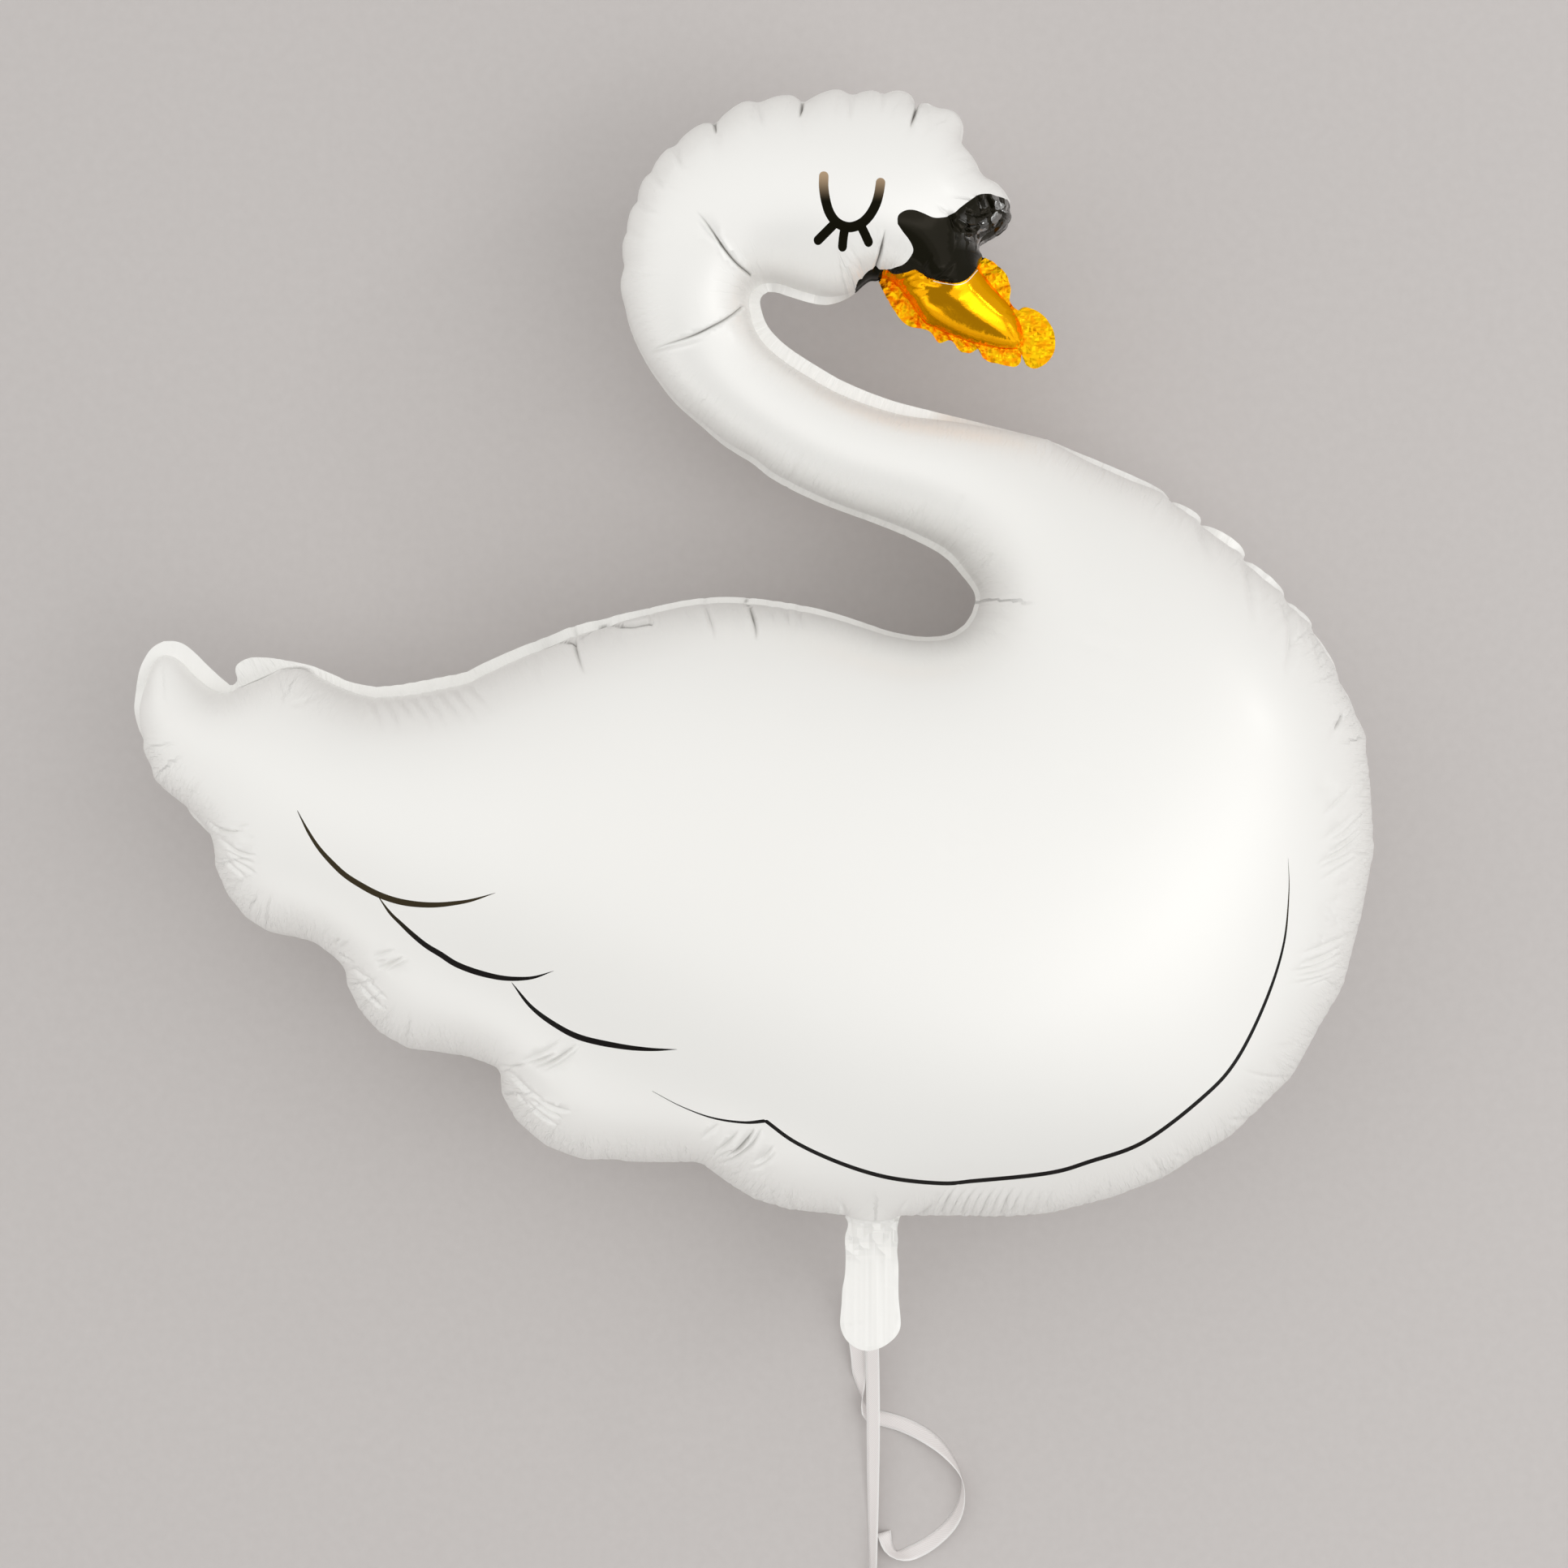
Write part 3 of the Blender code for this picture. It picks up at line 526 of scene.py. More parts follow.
# Creases and pleats
# The edge is too long for the filled shape, so the film puckers along it, and it folds sharply where
# the neck bends. A crease is a line of pixels that is pressed in by a depth, with a soft ridge beside it,
# and below zero it is a ridge.
CREASES = [                 # depth and half width in millimetres, then the line
    (2.7, 0.9, [(927, 342), (910, 327), (895, 310), (881, 290), (870, 274), (858, 260)]),
    (0.8, 1.2, [(888, 303), (872, 288), (858, 272)]),
    (2.5, 0.8, [(915, 379), (903, 388), (884, 399), (850, 415), (803, 432)]),
    (0.8, 1.2, [(806, 436), (838, 428), (872, 419)]),
    (2.2, 6.0, [(934, 352), (926, 364), (912, 380)]),
    (3.0, 1.0, [(1079, 333), (1083, 320), (1087, 302), (1091, 282)]),
    (1.0, 4.5, [(1079, 334), (1062, 330), (1044, 336)]),
    (3.0, 1.1, [(990, 122), (988, 129), (986, 137), (985, 144)]),
    (3.3, 1.1, [(1130, 130), (1128, 138), (1125, 147), (1122, 156)]),
    (2.7, 1.0, [(880, 148), (880, 155), (881, 163)]),
    (1.0, 2.4, [(988, 130), (988, 150), (990, 172)]),
    (1.2, 2.4, [(1128, 138), (1122, 156), (1114, 176)]),
    (0.9, 2.4, [(880, 156), (884, 172), (890, 188)]),
    (1.4, 1.8, [(933, 128), (936, 140), (942, 156)]),
    (1.4, 1.8, [(1047, 119), (1047, 130), (1048, 150)]),
    (1.0, 1.6, [(1087, 116), (1087, 126), (1084, 140)]),
    (1.4, 1.8, [(830, 182), (834, 194), (842, 210)]),
    (1.1, 1.8, [(801, 214), (808, 222), (820, 236)]),
    (1.0, 1.8, [(785, 250), (794, 256), (808, 262)]),
    (0.8, 1.8, [(772, 287), (782, 290), (796, 292)]),
    (1.0, 1.4, [(1173, 262), (1176, 286), (1174, 312)]),
    (0.8, 2.4, [(1181, 177), (1170, 184), (1160, 196)]),
    (0.5, 2.4, [(1198, 205), (1186, 212), (1172, 216)]),
    (1.6, 1.8, [(1172, 266), (1180, 282), (1196, 296), (1208, 304)]),
    (1.0, 1.2, [(1172, 266), (1160, 258), (1154, 250)]),
    (1.6, 1.2, [(1190, 262), (1206, 266), (1222, 258)]),
    (2.0, 1.1, [(1190, 284), (1208, 276), (1222, 266), (1232, 250)]),
    (2.0, 1.1, [(1194, 294), (1214, 288), (1230, 276), (1241, 262)]),
    (1.8, 1.1, [(1205, 242), (1210, 254), (1209, 268)]),
    (1.8, 1.1, [(1217, 243), (1222, 255), (1225, 270)]),
    (1.6, 1.1, [(1232, 248), (1236, 262), (1237, 276)]),
    (-1.4, 1.4, [(1212, 246), (1217, 258), (1218, 270)]),
    (-1.4, 1.4, [(1226, 247), (1230, 258), (1231, 270)]),
    (-1.2, 1.5, [(1194, 272), (1210, 282), (1224, 286)]),
    (1.4, 1.1, [(1180, 270), (1192, 276), (1198, 288)]),
    (1.2, 1.2, [(1136, 340), (1142, 326), (1148, 316)]),
    (1.0, 1.0, [(1148, 346), (1166, 334), (1178, 322)]),
    (0.8, 1.0, [(1108, 351), (1121, 343), (1132, 335)]),
    (0.6, 0.9, [(1109, 352), (1124, 349), (1141, 348)]),
    (0.9, 1.1, [(1109, 354), (1124, 357), (1141, 359)]),
    (-0.6, 1.6, [(1136, 367), (1143, 362), (1152, 358)]),
    (1.5, 5.0, [(1126, 346), (1142, 352), (1160, 357), (1180, 353), (1196, 343)]),
    (-1.1, 4.0, [(1112, 353), (1128, 363), (1150, 387), (1177, 408), (1212, 423), (1250, 429)]),
    (-1.2, 4.0, [(1205, 335), (1222, 352), (1238, 372), (1246, 384)]),
    (0.7, 0.9, [(1256, 428), (1246, 408), (1236, 392)]),
    (0.7, 0.9, [(1258, 424), (1254, 404), (1248, 388)]),
    (0.6, 0.9, [(1250, 388), (1238, 384), (1228, 382)]),
    (2.4, 0.9, [(1654, 882), (1650, 890), (1645, 899)]),
    (0.8, 2.4, [(1656, 880), (1646, 900), (1630, 930)]),
    (0.9, 1.4, [(1587, 1327), (1562, 1327), (1530, 1319)]),
    (0.6, 1.3, [(1598, 1287), (1580, 1289), (1560, 1294)]),
    (0.6, 1.3, [(1557, 1350), (1540, 1347), (1521, 1341)]),
    (1.0, 1.4, [(1433, 1444), (1424, 1434), (1416, 1420)]),
    (0.7, 1.4, [(1420, 1448), (1410, 1438), (1402, 1426)]),
    (2.2, 1.4, [(706, 772), (709, 794), (714, 814), (721, 832)]),
    (1.6, 1.2, [(800, 748), (802, 760), (804, 774)]),
    (1.8, 1.4, [(867, 737), (872, 752), (878, 772), (880, 790)]),
    (2.4, 1.4, [(918, 736), (926, 752), (931, 772), (932, 790)]),
    (1.2, 1.4, [(966, 744), (971, 758), (973, 776)]),
    (1.0, 1.4, [(950, 742), (953, 756), (955, 768)]),
    (0.9, 1.4, [(984, 748), (988, 762), (990, 778)]),
    (2.8, 1.5, [(708, 791), (692, 792), (670, 800), (646, 810)]),
    (3.0, 1.5, [(802, 766), (776, 771), (752, 771), (732, 779), (712, 791)]),
    (1.3, 1.9, [(463, 858), (467, 880), (471, 902)]),
    (1.3, 1.9, [(482, 857), (487, 880), (492, 904)]),
    (1.3, 1.9, [(498, 857), (505, 876), (512, 890)]),
    (1.3, 1.9, [(514, 856), (524, 878), (534, 902)]),
    (1.3, 1.9, [(531, 853), (541, 876), (551, 898)]),
    (1.3, 1.9, [(548, 850), (559, 872), (572, 894)]),
    (1.3, 1.9, [(564, 846), (576, 868), (592, 892)]),
    (1.3, 1.9, [(580, 840), (594, 860), (608, 878)]),
    (1.8, 3.0, [(1481, 648), (1486, 668), (1490, 694)]),
    (2.1, 3.0, [(1535, 692), (1540, 712), (1543, 740), (1548, 775)]),
    (0.7, 2.0, [(1535, 691), (1539, 704), (1542, 721), (1544, 742)]),
    (2.3, 3.0, [(1583, 742), (1590, 762), (1592, 795), (1586, 836)]),
    (1.0, 1.9, [(1584, 743), (1590, 759), (1593, 775), (1592, 792), (1587, 812), (1584, 832)]),
    (1.7, 2.6, [(1618, 778), (1624, 800), (1627, 826)]),
    (0.7, 1.6, [(1584, 780), (1581, 798), (1580, 814)]),
    (0.7, 1.6, [(1600, 790), (1597, 806), (1592, 822)]),
    (1.3, 1.25, [(1150, 1493), (1158, 1478), (1170, 1462)]),
    (1.8, 1.25, [(1160, 1494), (1169, 1476), (1182, 1458)]),
    (0.5, 1.25, [(1184, 1450), (1188, 1442), (1192, 1434)]),
    (1.7, 1.25, [(1172, 1495), (1181, 1478), (1194, 1462)]),
    (1.8, 1.25, [(1184, 1495), (1193, 1478), (1205, 1462)]),
    (1.7, 1.25, [(1196, 1496), (1204, 1480), (1215, 1463)]),
    (1.8, 1.25, [(1208, 1496), (1217, 1478), (1228, 1462)]),
    (1.7, 1.25, [(1220, 1496), (1229, 1478), (1240, 1460)]),
    (1.8, 1.25, [(1233, 1495), (1241, 1478), (1250, 1462)]),
    (1.7, 1.25, [(1246, 1494), (1253, 1479), (1262, 1464)]),
    (1.1, 1.25, [(1259, 1493), (1266, 1478), (1275, 1462)]),
    (1.0, 1.25, [(1272, 1491), (1279, 1477), (1288, 1464)]),
    (0.9, 1.25, [(1286, 1489), (1293, 1476), (1300, 1464)]),
    (0.6, 1.2, [(1186, 613), (1178, 636), (1169, 664)]),
    (0.6, 1.2, [(1193, 640), (1184, 656), (1174, 672)]),
    (0.6, 1.2, [(1220, 685), (1208, 700), (1196, 716)]),
    (0.35, 1.6, [(1313, 786), (1364, 797), (1424, 812)]),
    (0.35, 1.6, [(1340, 796), (1380, 812), (1420, 834)]),
    (0.3, 1.4, [(1353, 746), (1370, 747), (1388, 750)]),
    (0.3, 1.4, [(1349, 762), (1376, 766), (1407, 770)]),
    (0.35, 1.4, [(1356, 848), (1374, 860), (1394, 873)]),
    (0.35, 1.6, [(1308, 928), (1338, 962), (1374, 998)]),
    (0.3, 1.5, [(1336, 916), (1352, 938), (1368, 956)]),
    (0.3, 1.5, [(1316, 950), (1332, 974), (1342, 990)]),
    (0.3, 1.5, [(1168, 990), (1168, 1040), (1166, 1100)]),
    (0.3, 1.5, [(1214, 985), (1213, 1030), (1215, 1075)]),
    (0.3, 1.5, [(1190, 1005), (1192, 1050), (1190, 1090)]),
    (0.7, 1.3, [(363, 868), (380, 862), (399, 854), (412, 850)]),
    (2.7, 0.9, [(302, 845), (319, 838), (336, 831), (352, 824)]),
    (2.3, 0.9, [(352, 824), (368, 823), (379, 825), (388, 832)]),
    (1.2, 1.4, [(283, 854), (292, 849), (302, 845)]),
    (0.8, 1.4, [(1042, 1495), (1036, 1484), (1030, 1476)]),
    (0.8, 1.4, [(1108, 1495), (1114, 1484), (1122, 1476)]),
]
# Fine folds that run out at both ends: at the inward corners of the wing and down the breast
FOLDS = [
    (1.7, 1.1, [(256, 1010), (265, 1020), (277, 1024), (288, 1025), (301, 1024)]),
    (1.7, 1.1, [(271, 1033), (280, 1041), (288, 1047), (298, 1051), (309, 1053), (318, 1054)]),
    (1.3, 1.1, [(281, 1049), (294, 1057), (303, 1060), (315, 1063)]),
    (1.4, 1.1, [(290, 1061), (298, 1066), (306, 1071), (316, 1076)]),
    (1.3, 1.3, [(277, 1054), (284, 1066), (294, 1074), (305, 1084)]),
    (0.8, 1.2, [(286, 1021), (296, 1018), (308, 1015)]),
    (0.7, 1.2, [(293, 1043), (301, 1045), (311, 1046)]),
    (0.6, 1.2, [(298, 1031), (306, 1033), (314, 1031)]),
    (1.1, 1.1, [(459, 1181), (471, 1175), (488, 1169)]),
    (1.7, 1.1, [(467, 1194), (484, 1186), (498, 1178)]),
    (0.8, 1.1, [(465, 1187), (470, 1185), (476, 1183)]),
    (0.9, 1.1, [(478, 1197), (492, 1190), (507, 1181)]),
    (0.9, 1.0, [(418, 1170), (424, 1164), (429, 1159)]),
    (0.9, 1.0, [(409, 1166), (414, 1160), (420, 1156)]),
    (1.3, 1.2, [(417, 1174), (425, 1181), (437, 1186)]),
    (1.3, 1.3, [(434, 1192), (443, 1200), (453, 1205), (462, 1212)]),
    (1.1, 1.2, [(452, 1206), (465, 1221), (478, 1231)]),
    (1.6, 1.2, [(440, 1210), (455, 1227), (467, 1239), (479, 1244)]),
    (1.3, 1.1, [(644, 1308), (665, 1298), (682, 1288), (696, 1277)]),
    (1.7, 1.0, [(651, 1312), (669, 1305), (686, 1298)]),
    (1.8, 1.1, [(662, 1317), (684, 1306), (700, 1295), (714, 1285)]),
    (0.9, 1.2, [(668, 1322), (688, 1313), (703, 1303), (720, 1289)]),
    (1.4, 1.1, [(617, 1314), (631, 1315), (648, 1311)]),
    (1.5, 1.5, [(623, 1317), (634, 1327), (644, 1338), (657, 1348), (672, 1356)]),
    (1.7, 1.1, [(662, 1355), (678, 1363), (690, 1367), (704, 1368)]),
    (1.4, 1.1, [(655, 1356), (671, 1366), (684, 1373), (694, 1380)]),
    (1.4, 1.1, [(650, 1358), (663, 1371), (678, 1382), (690, 1387)]),
    (0.9, 1.2, [(633, 1344), (641, 1352), (650, 1364)]),
    (1.7, 1.1, [(878, 1422), (890, 1414), (901, 1404), (911, 1393)]),
    (1.3, 1.0, [(885, 1427), (895, 1421), (905, 1417)]),
    (2.1, 1.1, [(895, 1425), (908, 1418), (919, 1406), (931, 1390)]),
    (1.8, 1.1, [(887, 1434), (902, 1429), (914, 1421), (926, 1411), (940, 1390)]),
    (1.3, 1.2, [(929, 1433), (943, 1424), (954, 1411)]),
    (0.9, 1.2, [(923, 1442), (938, 1437), (957, 1421)]),
    (0.8, 1.2, [(864, 1404), (874, 1395), (887, 1384)]),
    (0.7, 1.3, [(1623, 975), (1632, 966), (1640, 960)]),
    (0.7, 1.3, [(1630, 979), (1640, 970), (1652, 960)]),
    (1.1, 1.2, [(1631, 1003), (1644, 992), (1656, 981), (1668, 966)]),
    (1.1, 1.4, [(1630, 1034), (1646, 1022), (1660, 1011), (1670, 1000)]),
    (1.3, 1.2, [(1643, 1034), (1656, 1028), (1667, 1017), (1677, 1006), (1685, 995)]),
    (1.6, 1.1, [(1636, 1051), (1650, 1042), (1664, 1032), (1677, 1020)]),
    (1.7, 1.1, [(1625, 1064), (1640, 1055), (1652, 1048), (1665, 1039), (1678, 1027)]),
    (1.1, 1.3, [(1626, 1070), (1641, 1063), (1656, 1057), (1669, 1049)]),
    (0.9, 1.3, [(1627, 1084), (1643, 1075), (1657, 1066), (1674, 1056)]),
    (0.7, 1.3, [(1646, 1093), (1659, 1087), (1672, 1082)]),
    (0.6, 1.3, [(1629, 1119), (1644, 1110), (1661, 1103)]),
    (0.6, 1.3, [(1625, 1131), (1638, 1124), (1650, 1117)]),
    (0.6, 1.3, [(1629, 1137), (1642, 1133), (1655, 1126)]),
    (0.6, 1.3, [(1632, 1144), (1646, 1140), (1658, 1133)]),
    (0.6, 1.3, [(1612, 1163), (1628, 1158), (1644, 1152)]),
    (1.4, 1.2, [(1608, 1173), (1624, 1168), (1639, 1162), (1651, 1157), (1662, 1150)]),
    (1.7, 1.1, [(1604, 1187), (1617, 1184), (1630, 1179), (1640, 1174), (1653, 1165)]),
    (1.6, 1.2, [(1594, 1196), (1610, 1194), (1626, 1189), (1640, 1182), (1655, 1173)]),
    (1.2, 1.2, [(1598, 1202), (1615, 1200), (1630, 1197), (1640, 1193), (1652, 1185)]),
    (1.1, 1.2, [(1598, 1211), (1614, 1208), (1628, 1204), (1641, 1198)]),
    (0.8, 1.2, [(1609, 1215), (1626, 1210), (1641, 1204)]),
]
# Pleats along a stretch: apart, length, depth and half width in millimetres, slant from square in degrees
PLEATS = {
    "shoulder_slope": (10, 26, 0.25, 1.6, 10),
    "shoulder": (9, 30, 0.35, 1.6, 12),
    "shoulder_foot": (6, 26, 0.30, 1.6, 26),
    "breast": (4.4, 20, 0.30, 1.5, 36),
    "underside": (5.0, 16, 0.60, 1.3, -30),
    "belly": (5, 18, 0.60, 1.3, 24),
    "wing_root": (6, 16, 0.35, 1.3, 10),
    "wing_middle": (6, 16, 0.35, 1.3, 0),
    "wing_tip": (6, 14, 0.35, 1.3, -8),
    "tail_under": (5, 12, 0.22, 1.2, -10),
    "tail": (9, 8, 0.10, 1.6, 0),
    "back": (8.0, 22, 0.25, 2.0, 0),
    "rump": (8, 14, 0.35, 1.3, 20),
    "throat": (7, 16, 0.30, 1.2, 0),
    "neck_back": (8, 14, 0.22, 1.4, 0),
    "nape": (7, 14, 0.14, 1.6, 0),
    "crown": (7, 14, 0.14, 1.6, 0),
    "crown_front": (7, 14, 0.12, 1.6, 0),
    "brow": (7, 12, 0.12, 1.6, 0),
    "forehead": (7, 12, 0.16, 1.6, 0),
    "knob": (4, 9, 0.80, 0.9, 10),
    "beak_top": (4, 7, 0.35, 0.8, 10),
    "beak_tip": (3, 6, 0.45, 0.8, 0),
    "beak_foot": (4, 7, 0.30, 0.8, -10),
    "chin": (9, 12, 0.10, 1.6, 0),
    "tab": (6, 9, 0.18, 0.9, 0),
}
# How strong they are from their start to their end, as shares of their depth
CREASE_STRENGTHS = (0.8, 1.0, 0.0)
FOLD_STRENGTHS = (0.25, 1.35, 1.2, 0.0)
PLEAT_STRENGTHS = (1.0, 0.6, 0.0)
PLEAT_SEED = 20
CREASE_STEP = 0.003
PLEAT_STEP = 0.004
SHARP_FOLD = 0.8            # folds this deep get an edge in their valley and two on each side
WIDE_FOLD = 2.2             # the grid alone shows the ones that are wider
FOLD_STEP = 0.0015
FOLD_SIDES = (0.55, -0.55, 1.5, -1.5)       # where those edges are, in half widths
VALLEY_REACH = 0.016        # how fast a valley between two puckers fades behind the seal
VALLEY_DEPTH = 0.018
SEAL_HELD = 0.25            # the share of a crease's depth that is left at the seal
SEAL_REACH = 0.0025
FOLD_SHADE_FROM = 0.0017       # creases that are deeper than this and narrower than the next get a painted shade in their valley
FOLD_SHADE_WIDTH = 0.0016
FOLD_SHADE_RANGE = 0.001       # this much deeper, their painted shade is as dark as it gets
STEEP_SHARE = 0.2           # how much a difference in height counts beside the distance across a fold
BACK_FOLD_SHADE = 0.5            # how strong the painted fold shade is in the back sheet
RIDGE_SHARE = 0.32          # the height of the soft ridge beside a crease, as a share of its depth
RIDGE_AT = 1.9              # how far out it is, in half widths

crease_lines = []
fold_edges = []
for strengths, group in ((CREASE_STRENGTHS, CREASES), (FOLD_STRENGTHS, FOLDS)):
    for depth, half_width, pixels in group:
        line = smooth_line(on_sheet(pixels), CREASE_STEP)
        crease_lines.append((line, depth / 1000, half_width / 1000, strengths))
        if half_width > WIDE_FOLD:
            continue
        edge = smooth_line(line, FOLD_STEP)
        fold_edges.append(edge)
        if abs(depth) >= SHARP_FOLD:
            side = np.gradient(edge, axis=0)
            side = np.column_stack([-side[:, 1], side[:, 0]]) / np.linalg.norm(side, axis=1)[:, None]
            for far in FOLD_SIDES:
                fold_edges.append(edge + side * far * half_width / 1000)
chance = np.random.default_rng(PLEAT_SEED)
for name, (apart, length, depth, half_width, slant) in PLEATS.items():
    numbers = np.flatnonzero(stretch_of == name)
    travelled = np.cumsum(np.linalg.norm(np.diff(seal_line[numbers], axis=0), axis=1))
    at = apart / 1000 * chance.uniform(0.3, 1)
    while at < travelled[-1]:
        i = numbers[np.searchsorted(travelled, at)]
        lean = math.radians(slant + chance.normal(0, 7))
        inward = -seal_out[i]
        heading = np.array([inward[0] * math.cos(lean) - inward[1] * math.sin(lean),
                            inward[0] * math.sin(lean) + inward[1] * math.cos(lean)])
        strength = chance.gamma(1.6, 0.62)
        reach = length / 1000 * min(1.7, 0.35 + 0.55 * strength + chance.uniform(0, 0.25))
        side = np.array([-heading[1], heading[0]]) * chance.normal(0, 0.05) * reach
        bend = seal_line[i] + heading * reach * 0.5 + side
        line = smooth_line([seal_line[i], bend, seal_line[i] + heading * reach], PLEAT_STEP)
        crease_lines.append((line, depth / 1000 * strength, half_width / 1000, PLEAT_STRENGTHS))
        at += apart / 1000 * chance.uniform(0.45, 1.6)


def beside(places, line, reach):
    """The places near a line: their numbers, how far off it each is, and how far along it as a share."""
    inside = (places > line.min(axis=0) - reach) & (places < line.max(axis=0) + reach)
    near = np.flatnonzero(np.all(inside, axis=1))
    spots = places[near]
    best = np.full(len(near), np.inf)
    share = np.zeros(len(near))
    for i, (start, end) in enumerate(zip(line, line[1:])):
        run = end - start
        along = np.clip((spots - start) @ run / (run @ run), 0, 1)
        far = np.linalg.norm(spots - start - along[:, None] * run, axis=1)
        closer = far < best
        best[closer] = far[closer]
        share[closer] = (i + along[closer]) / (len(line) - 1)
    return near, best, share


def painted_fold_shade_at(places, heights):
    """Painted shade in the sharp folds of one sheet: how dark each place is painted, more where the film is
    folded tightly. Heights count too, so that a fold low on a steep side stays narrow."""
    tree = KDTree(len(places))
    for i, place in enumerate(places):
        tree.insert((*place, 0), i)
    tree.balance()
    painted_fold_shade = np.zeros(len(places))
    for line, depth, half_width, strengths in crease_lines:
        if depth > FOLD_SHADE_FROM and half_width < FOLD_SHADE_WIDTH:
            near, far, share = beside(places, line, 2 * half_width)
            on_line = [heights[tree.find((x, y, 0))[1]] for x, y in line]
            rise = heights[near] - np.interp(share, np.linspace(0, 1, len(line)), on_line)
            far = np.hypot(far, rise * STEEP_SHARE)
            strength = np.interp(share, np.linspace(0, 1, len(strengths)), strengths)
            dark = min((depth - FOLD_SHADE_FROM) / FOLD_SHADE_RANGE, 1)
            # how dark the painted fold shade is at each place near this crease
            tight = dark * strength * np.exp(-(far / (0.5 * half_width)) ** 2)
            painted_fold_shade[near] = np.maximum(painted_fold_shade[near], tight)
    return painted_fold_shade


def sunk_by(places, line, depth, half_width, strengths):
    """How far one crease presses each place in: the numbers of the places near it, and the depths."""
    near, far, share = beside(places, line, 3.5 * half_width)
    across = far / (half_width * (1.1 - 0.5 * share))
    strength = np.interp(share, np.linspace(0, 1, len(strengths)), strengths)
    valley = np.exp(-across ** 1.25)
    ridge = RIDGE_SHARE * np.exp(-(across - RIDGE_AT) ** 2 * 1.2)
    return near, depth * strength * (valley - ridge)


def sunk_in(places, depth_behind, near_seal):
    """How far all creases together press each place in."""
    behind = np.maximum(depth_behind, 0)
    sunk = fold_line[near_seal] * VALLEY_DEPTH * np.exp(-behind / VALLEY_REACH)
    for line, depth, half_width, strengths in crease_lines:
        near, more = sunk_by(places, line, depth, half_width, strengths)
        sunk[near] += more
    return sunk * (1 - (1 - SEAL_HELD) * np.exp(-behind / SEAL_REACH))


# The filled foil body
# The two sheets meet in a flat heat sealed flange, which stands out where the edge is taut, and is
# drawn back under the body where it is round. The filling neck hangs below the belly as a flat tab.
FLANGE_WIDTH = 0.0055
FLANGE_ROWS = 2
THIN_RIM = 0.0015           # a rim that shows less is painted as if it were this far out
ON_SEAL = 1e-7
MERGE_REACH = 0.00005
PRESSED_EDGE = 0.002        # how softly the pressed spot underneath runs out
# How far each grid reaches behind the seal, and its step
FRONT_ZONES = [(0.016, 0.0016), (0.032, 0.0024), (1, 0.0050)]
BACK_ZONES = [(0.016, 0.0028), (0.032, 0.0040), (1, 0.0080)]
STRAIGHT_OUT = ("beak_top", "beak_tip", "beak_foot", "tab", "tail_top", "rump")
# How far the flange waves up and down along each stretch, in millimetres
PLAIN_RUFFLE = 0.3
RUFFLES = {"beak_top": 1.1, "beak_tip": 1.3, "beak_foot": 1.1, "knob": 0.8, "shoulder": 0.5,
           "tail_under": 0.5, "tab": 0.15, "hook": 0.05, "mask_side": 0.1, "neck_front": 0.2, "chin": 0.25,
           "tail_top": 0.2, "tail": 0.2}
RUFFLE_WAVES = ((0.0063, 0.4, 0.4), (0.0107, 2.0, 0.7), (0.0191, 4.4, 0.7))     # length, start, height
# How strongly the tight seal draws fine puckers in the film along each stretch
PLAIN_DRAWN = 1.0
DRAWN = {"back": 0.35, "rump": 0.5, "throat": 0.5, "nape": 0.25, "crown": 0.2, "crown_front": 0.15,
         "brow": 0.15, "forehead": 0.25, "chin": 0.25, "neck_front": 0.4, "neck_back": 0.4,
         "shoulder_slope": 0.5, "shoulder": 0.4, "tab": 0, "tail": 0.1, "tail_top": 0.1}

seal_steps = np.linalg.norm(np.roll(seal_line, -1, axis=0) - seal_line, axis=1)
seal_travelled = np.cumsum(seal_steps) - seal_steps
flange_reach = rim_out * shown_line[:, None]
flange_reach[own_seal] = (rim_line - seal_line)[own_seal]
straight_out = np.isin(stretch_of, STRAIGHT_OUT)
flange_drop = np.where(straight_out, 0, np.sqrt(np.maximum(FLANGE_WIDTH ** 2 - shown_line ** 2, 0)))
ruffle_size = np.array([RUFFLES.get(name, PLAIN_RUFFLE) for name in stretch_of]) / 1000
ruffle = np.zeros(len(seal_line))
for wave_length, wave_start, wave_height in RUFFLE_WAVES:
    ruffle += np.sin(2 * math.pi * seal_travelled / wave_length + wave_start) * wave_height
drawn_line = np.array([DRAWN.get(name, PLAIN_DRAWN) for name in stretch_of])
for passes in range(6):
    drawn_line = (np.roll(drawn_line, 1) + drawn_line + np.roll(drawn_line, -1)) / 3
for passes in range(2):
    ruffle_size = (np.roll(ruffle_size, 1) + ruffle_size + np.roll(ruffle_size, -1)) / 3
    flange_drop = (np.roll(flange_drop, 1) + flange_drop + np.roll(flange_drop, -1)) / 3


def face_sums(spots, triangles):
    """The direction in which a sheet faces at each of its places."""
    corners = spots[triangles]
    faced = np.cross(corners[:, 1] - corners[:, 0], corners[:, 2] - corners[:, 0])
    summed = np.zeros_like(spots)
    for corner in range(3):
        for axis in range(3):
            summed[:, axis] += np.bincount(triangles[:, corner], faced[:, axis], len(spots))
    summed *= np.sign(summed[:, 2].sum())
    return summed / np.linalg.norm(summed, axis=1)[:, None]


def pressed_in(places, heights, facing, sunk):
    """Places of a sheet above the seam plane, moved in by the creases. The tab only bends up and down."""
    in_tab = places[:, 1] < TAB_ROOT.y
    sunk_across = np.where(in_tab, 0, sunk)
    spots = np.column_stack([places, heights]) - facing * sunk_across[:, None]
    spots[:, 2] = np.maximum(spots[:, 2], 0.25 * heights)
    return spots, np.where(in_tab, sunk, 0)


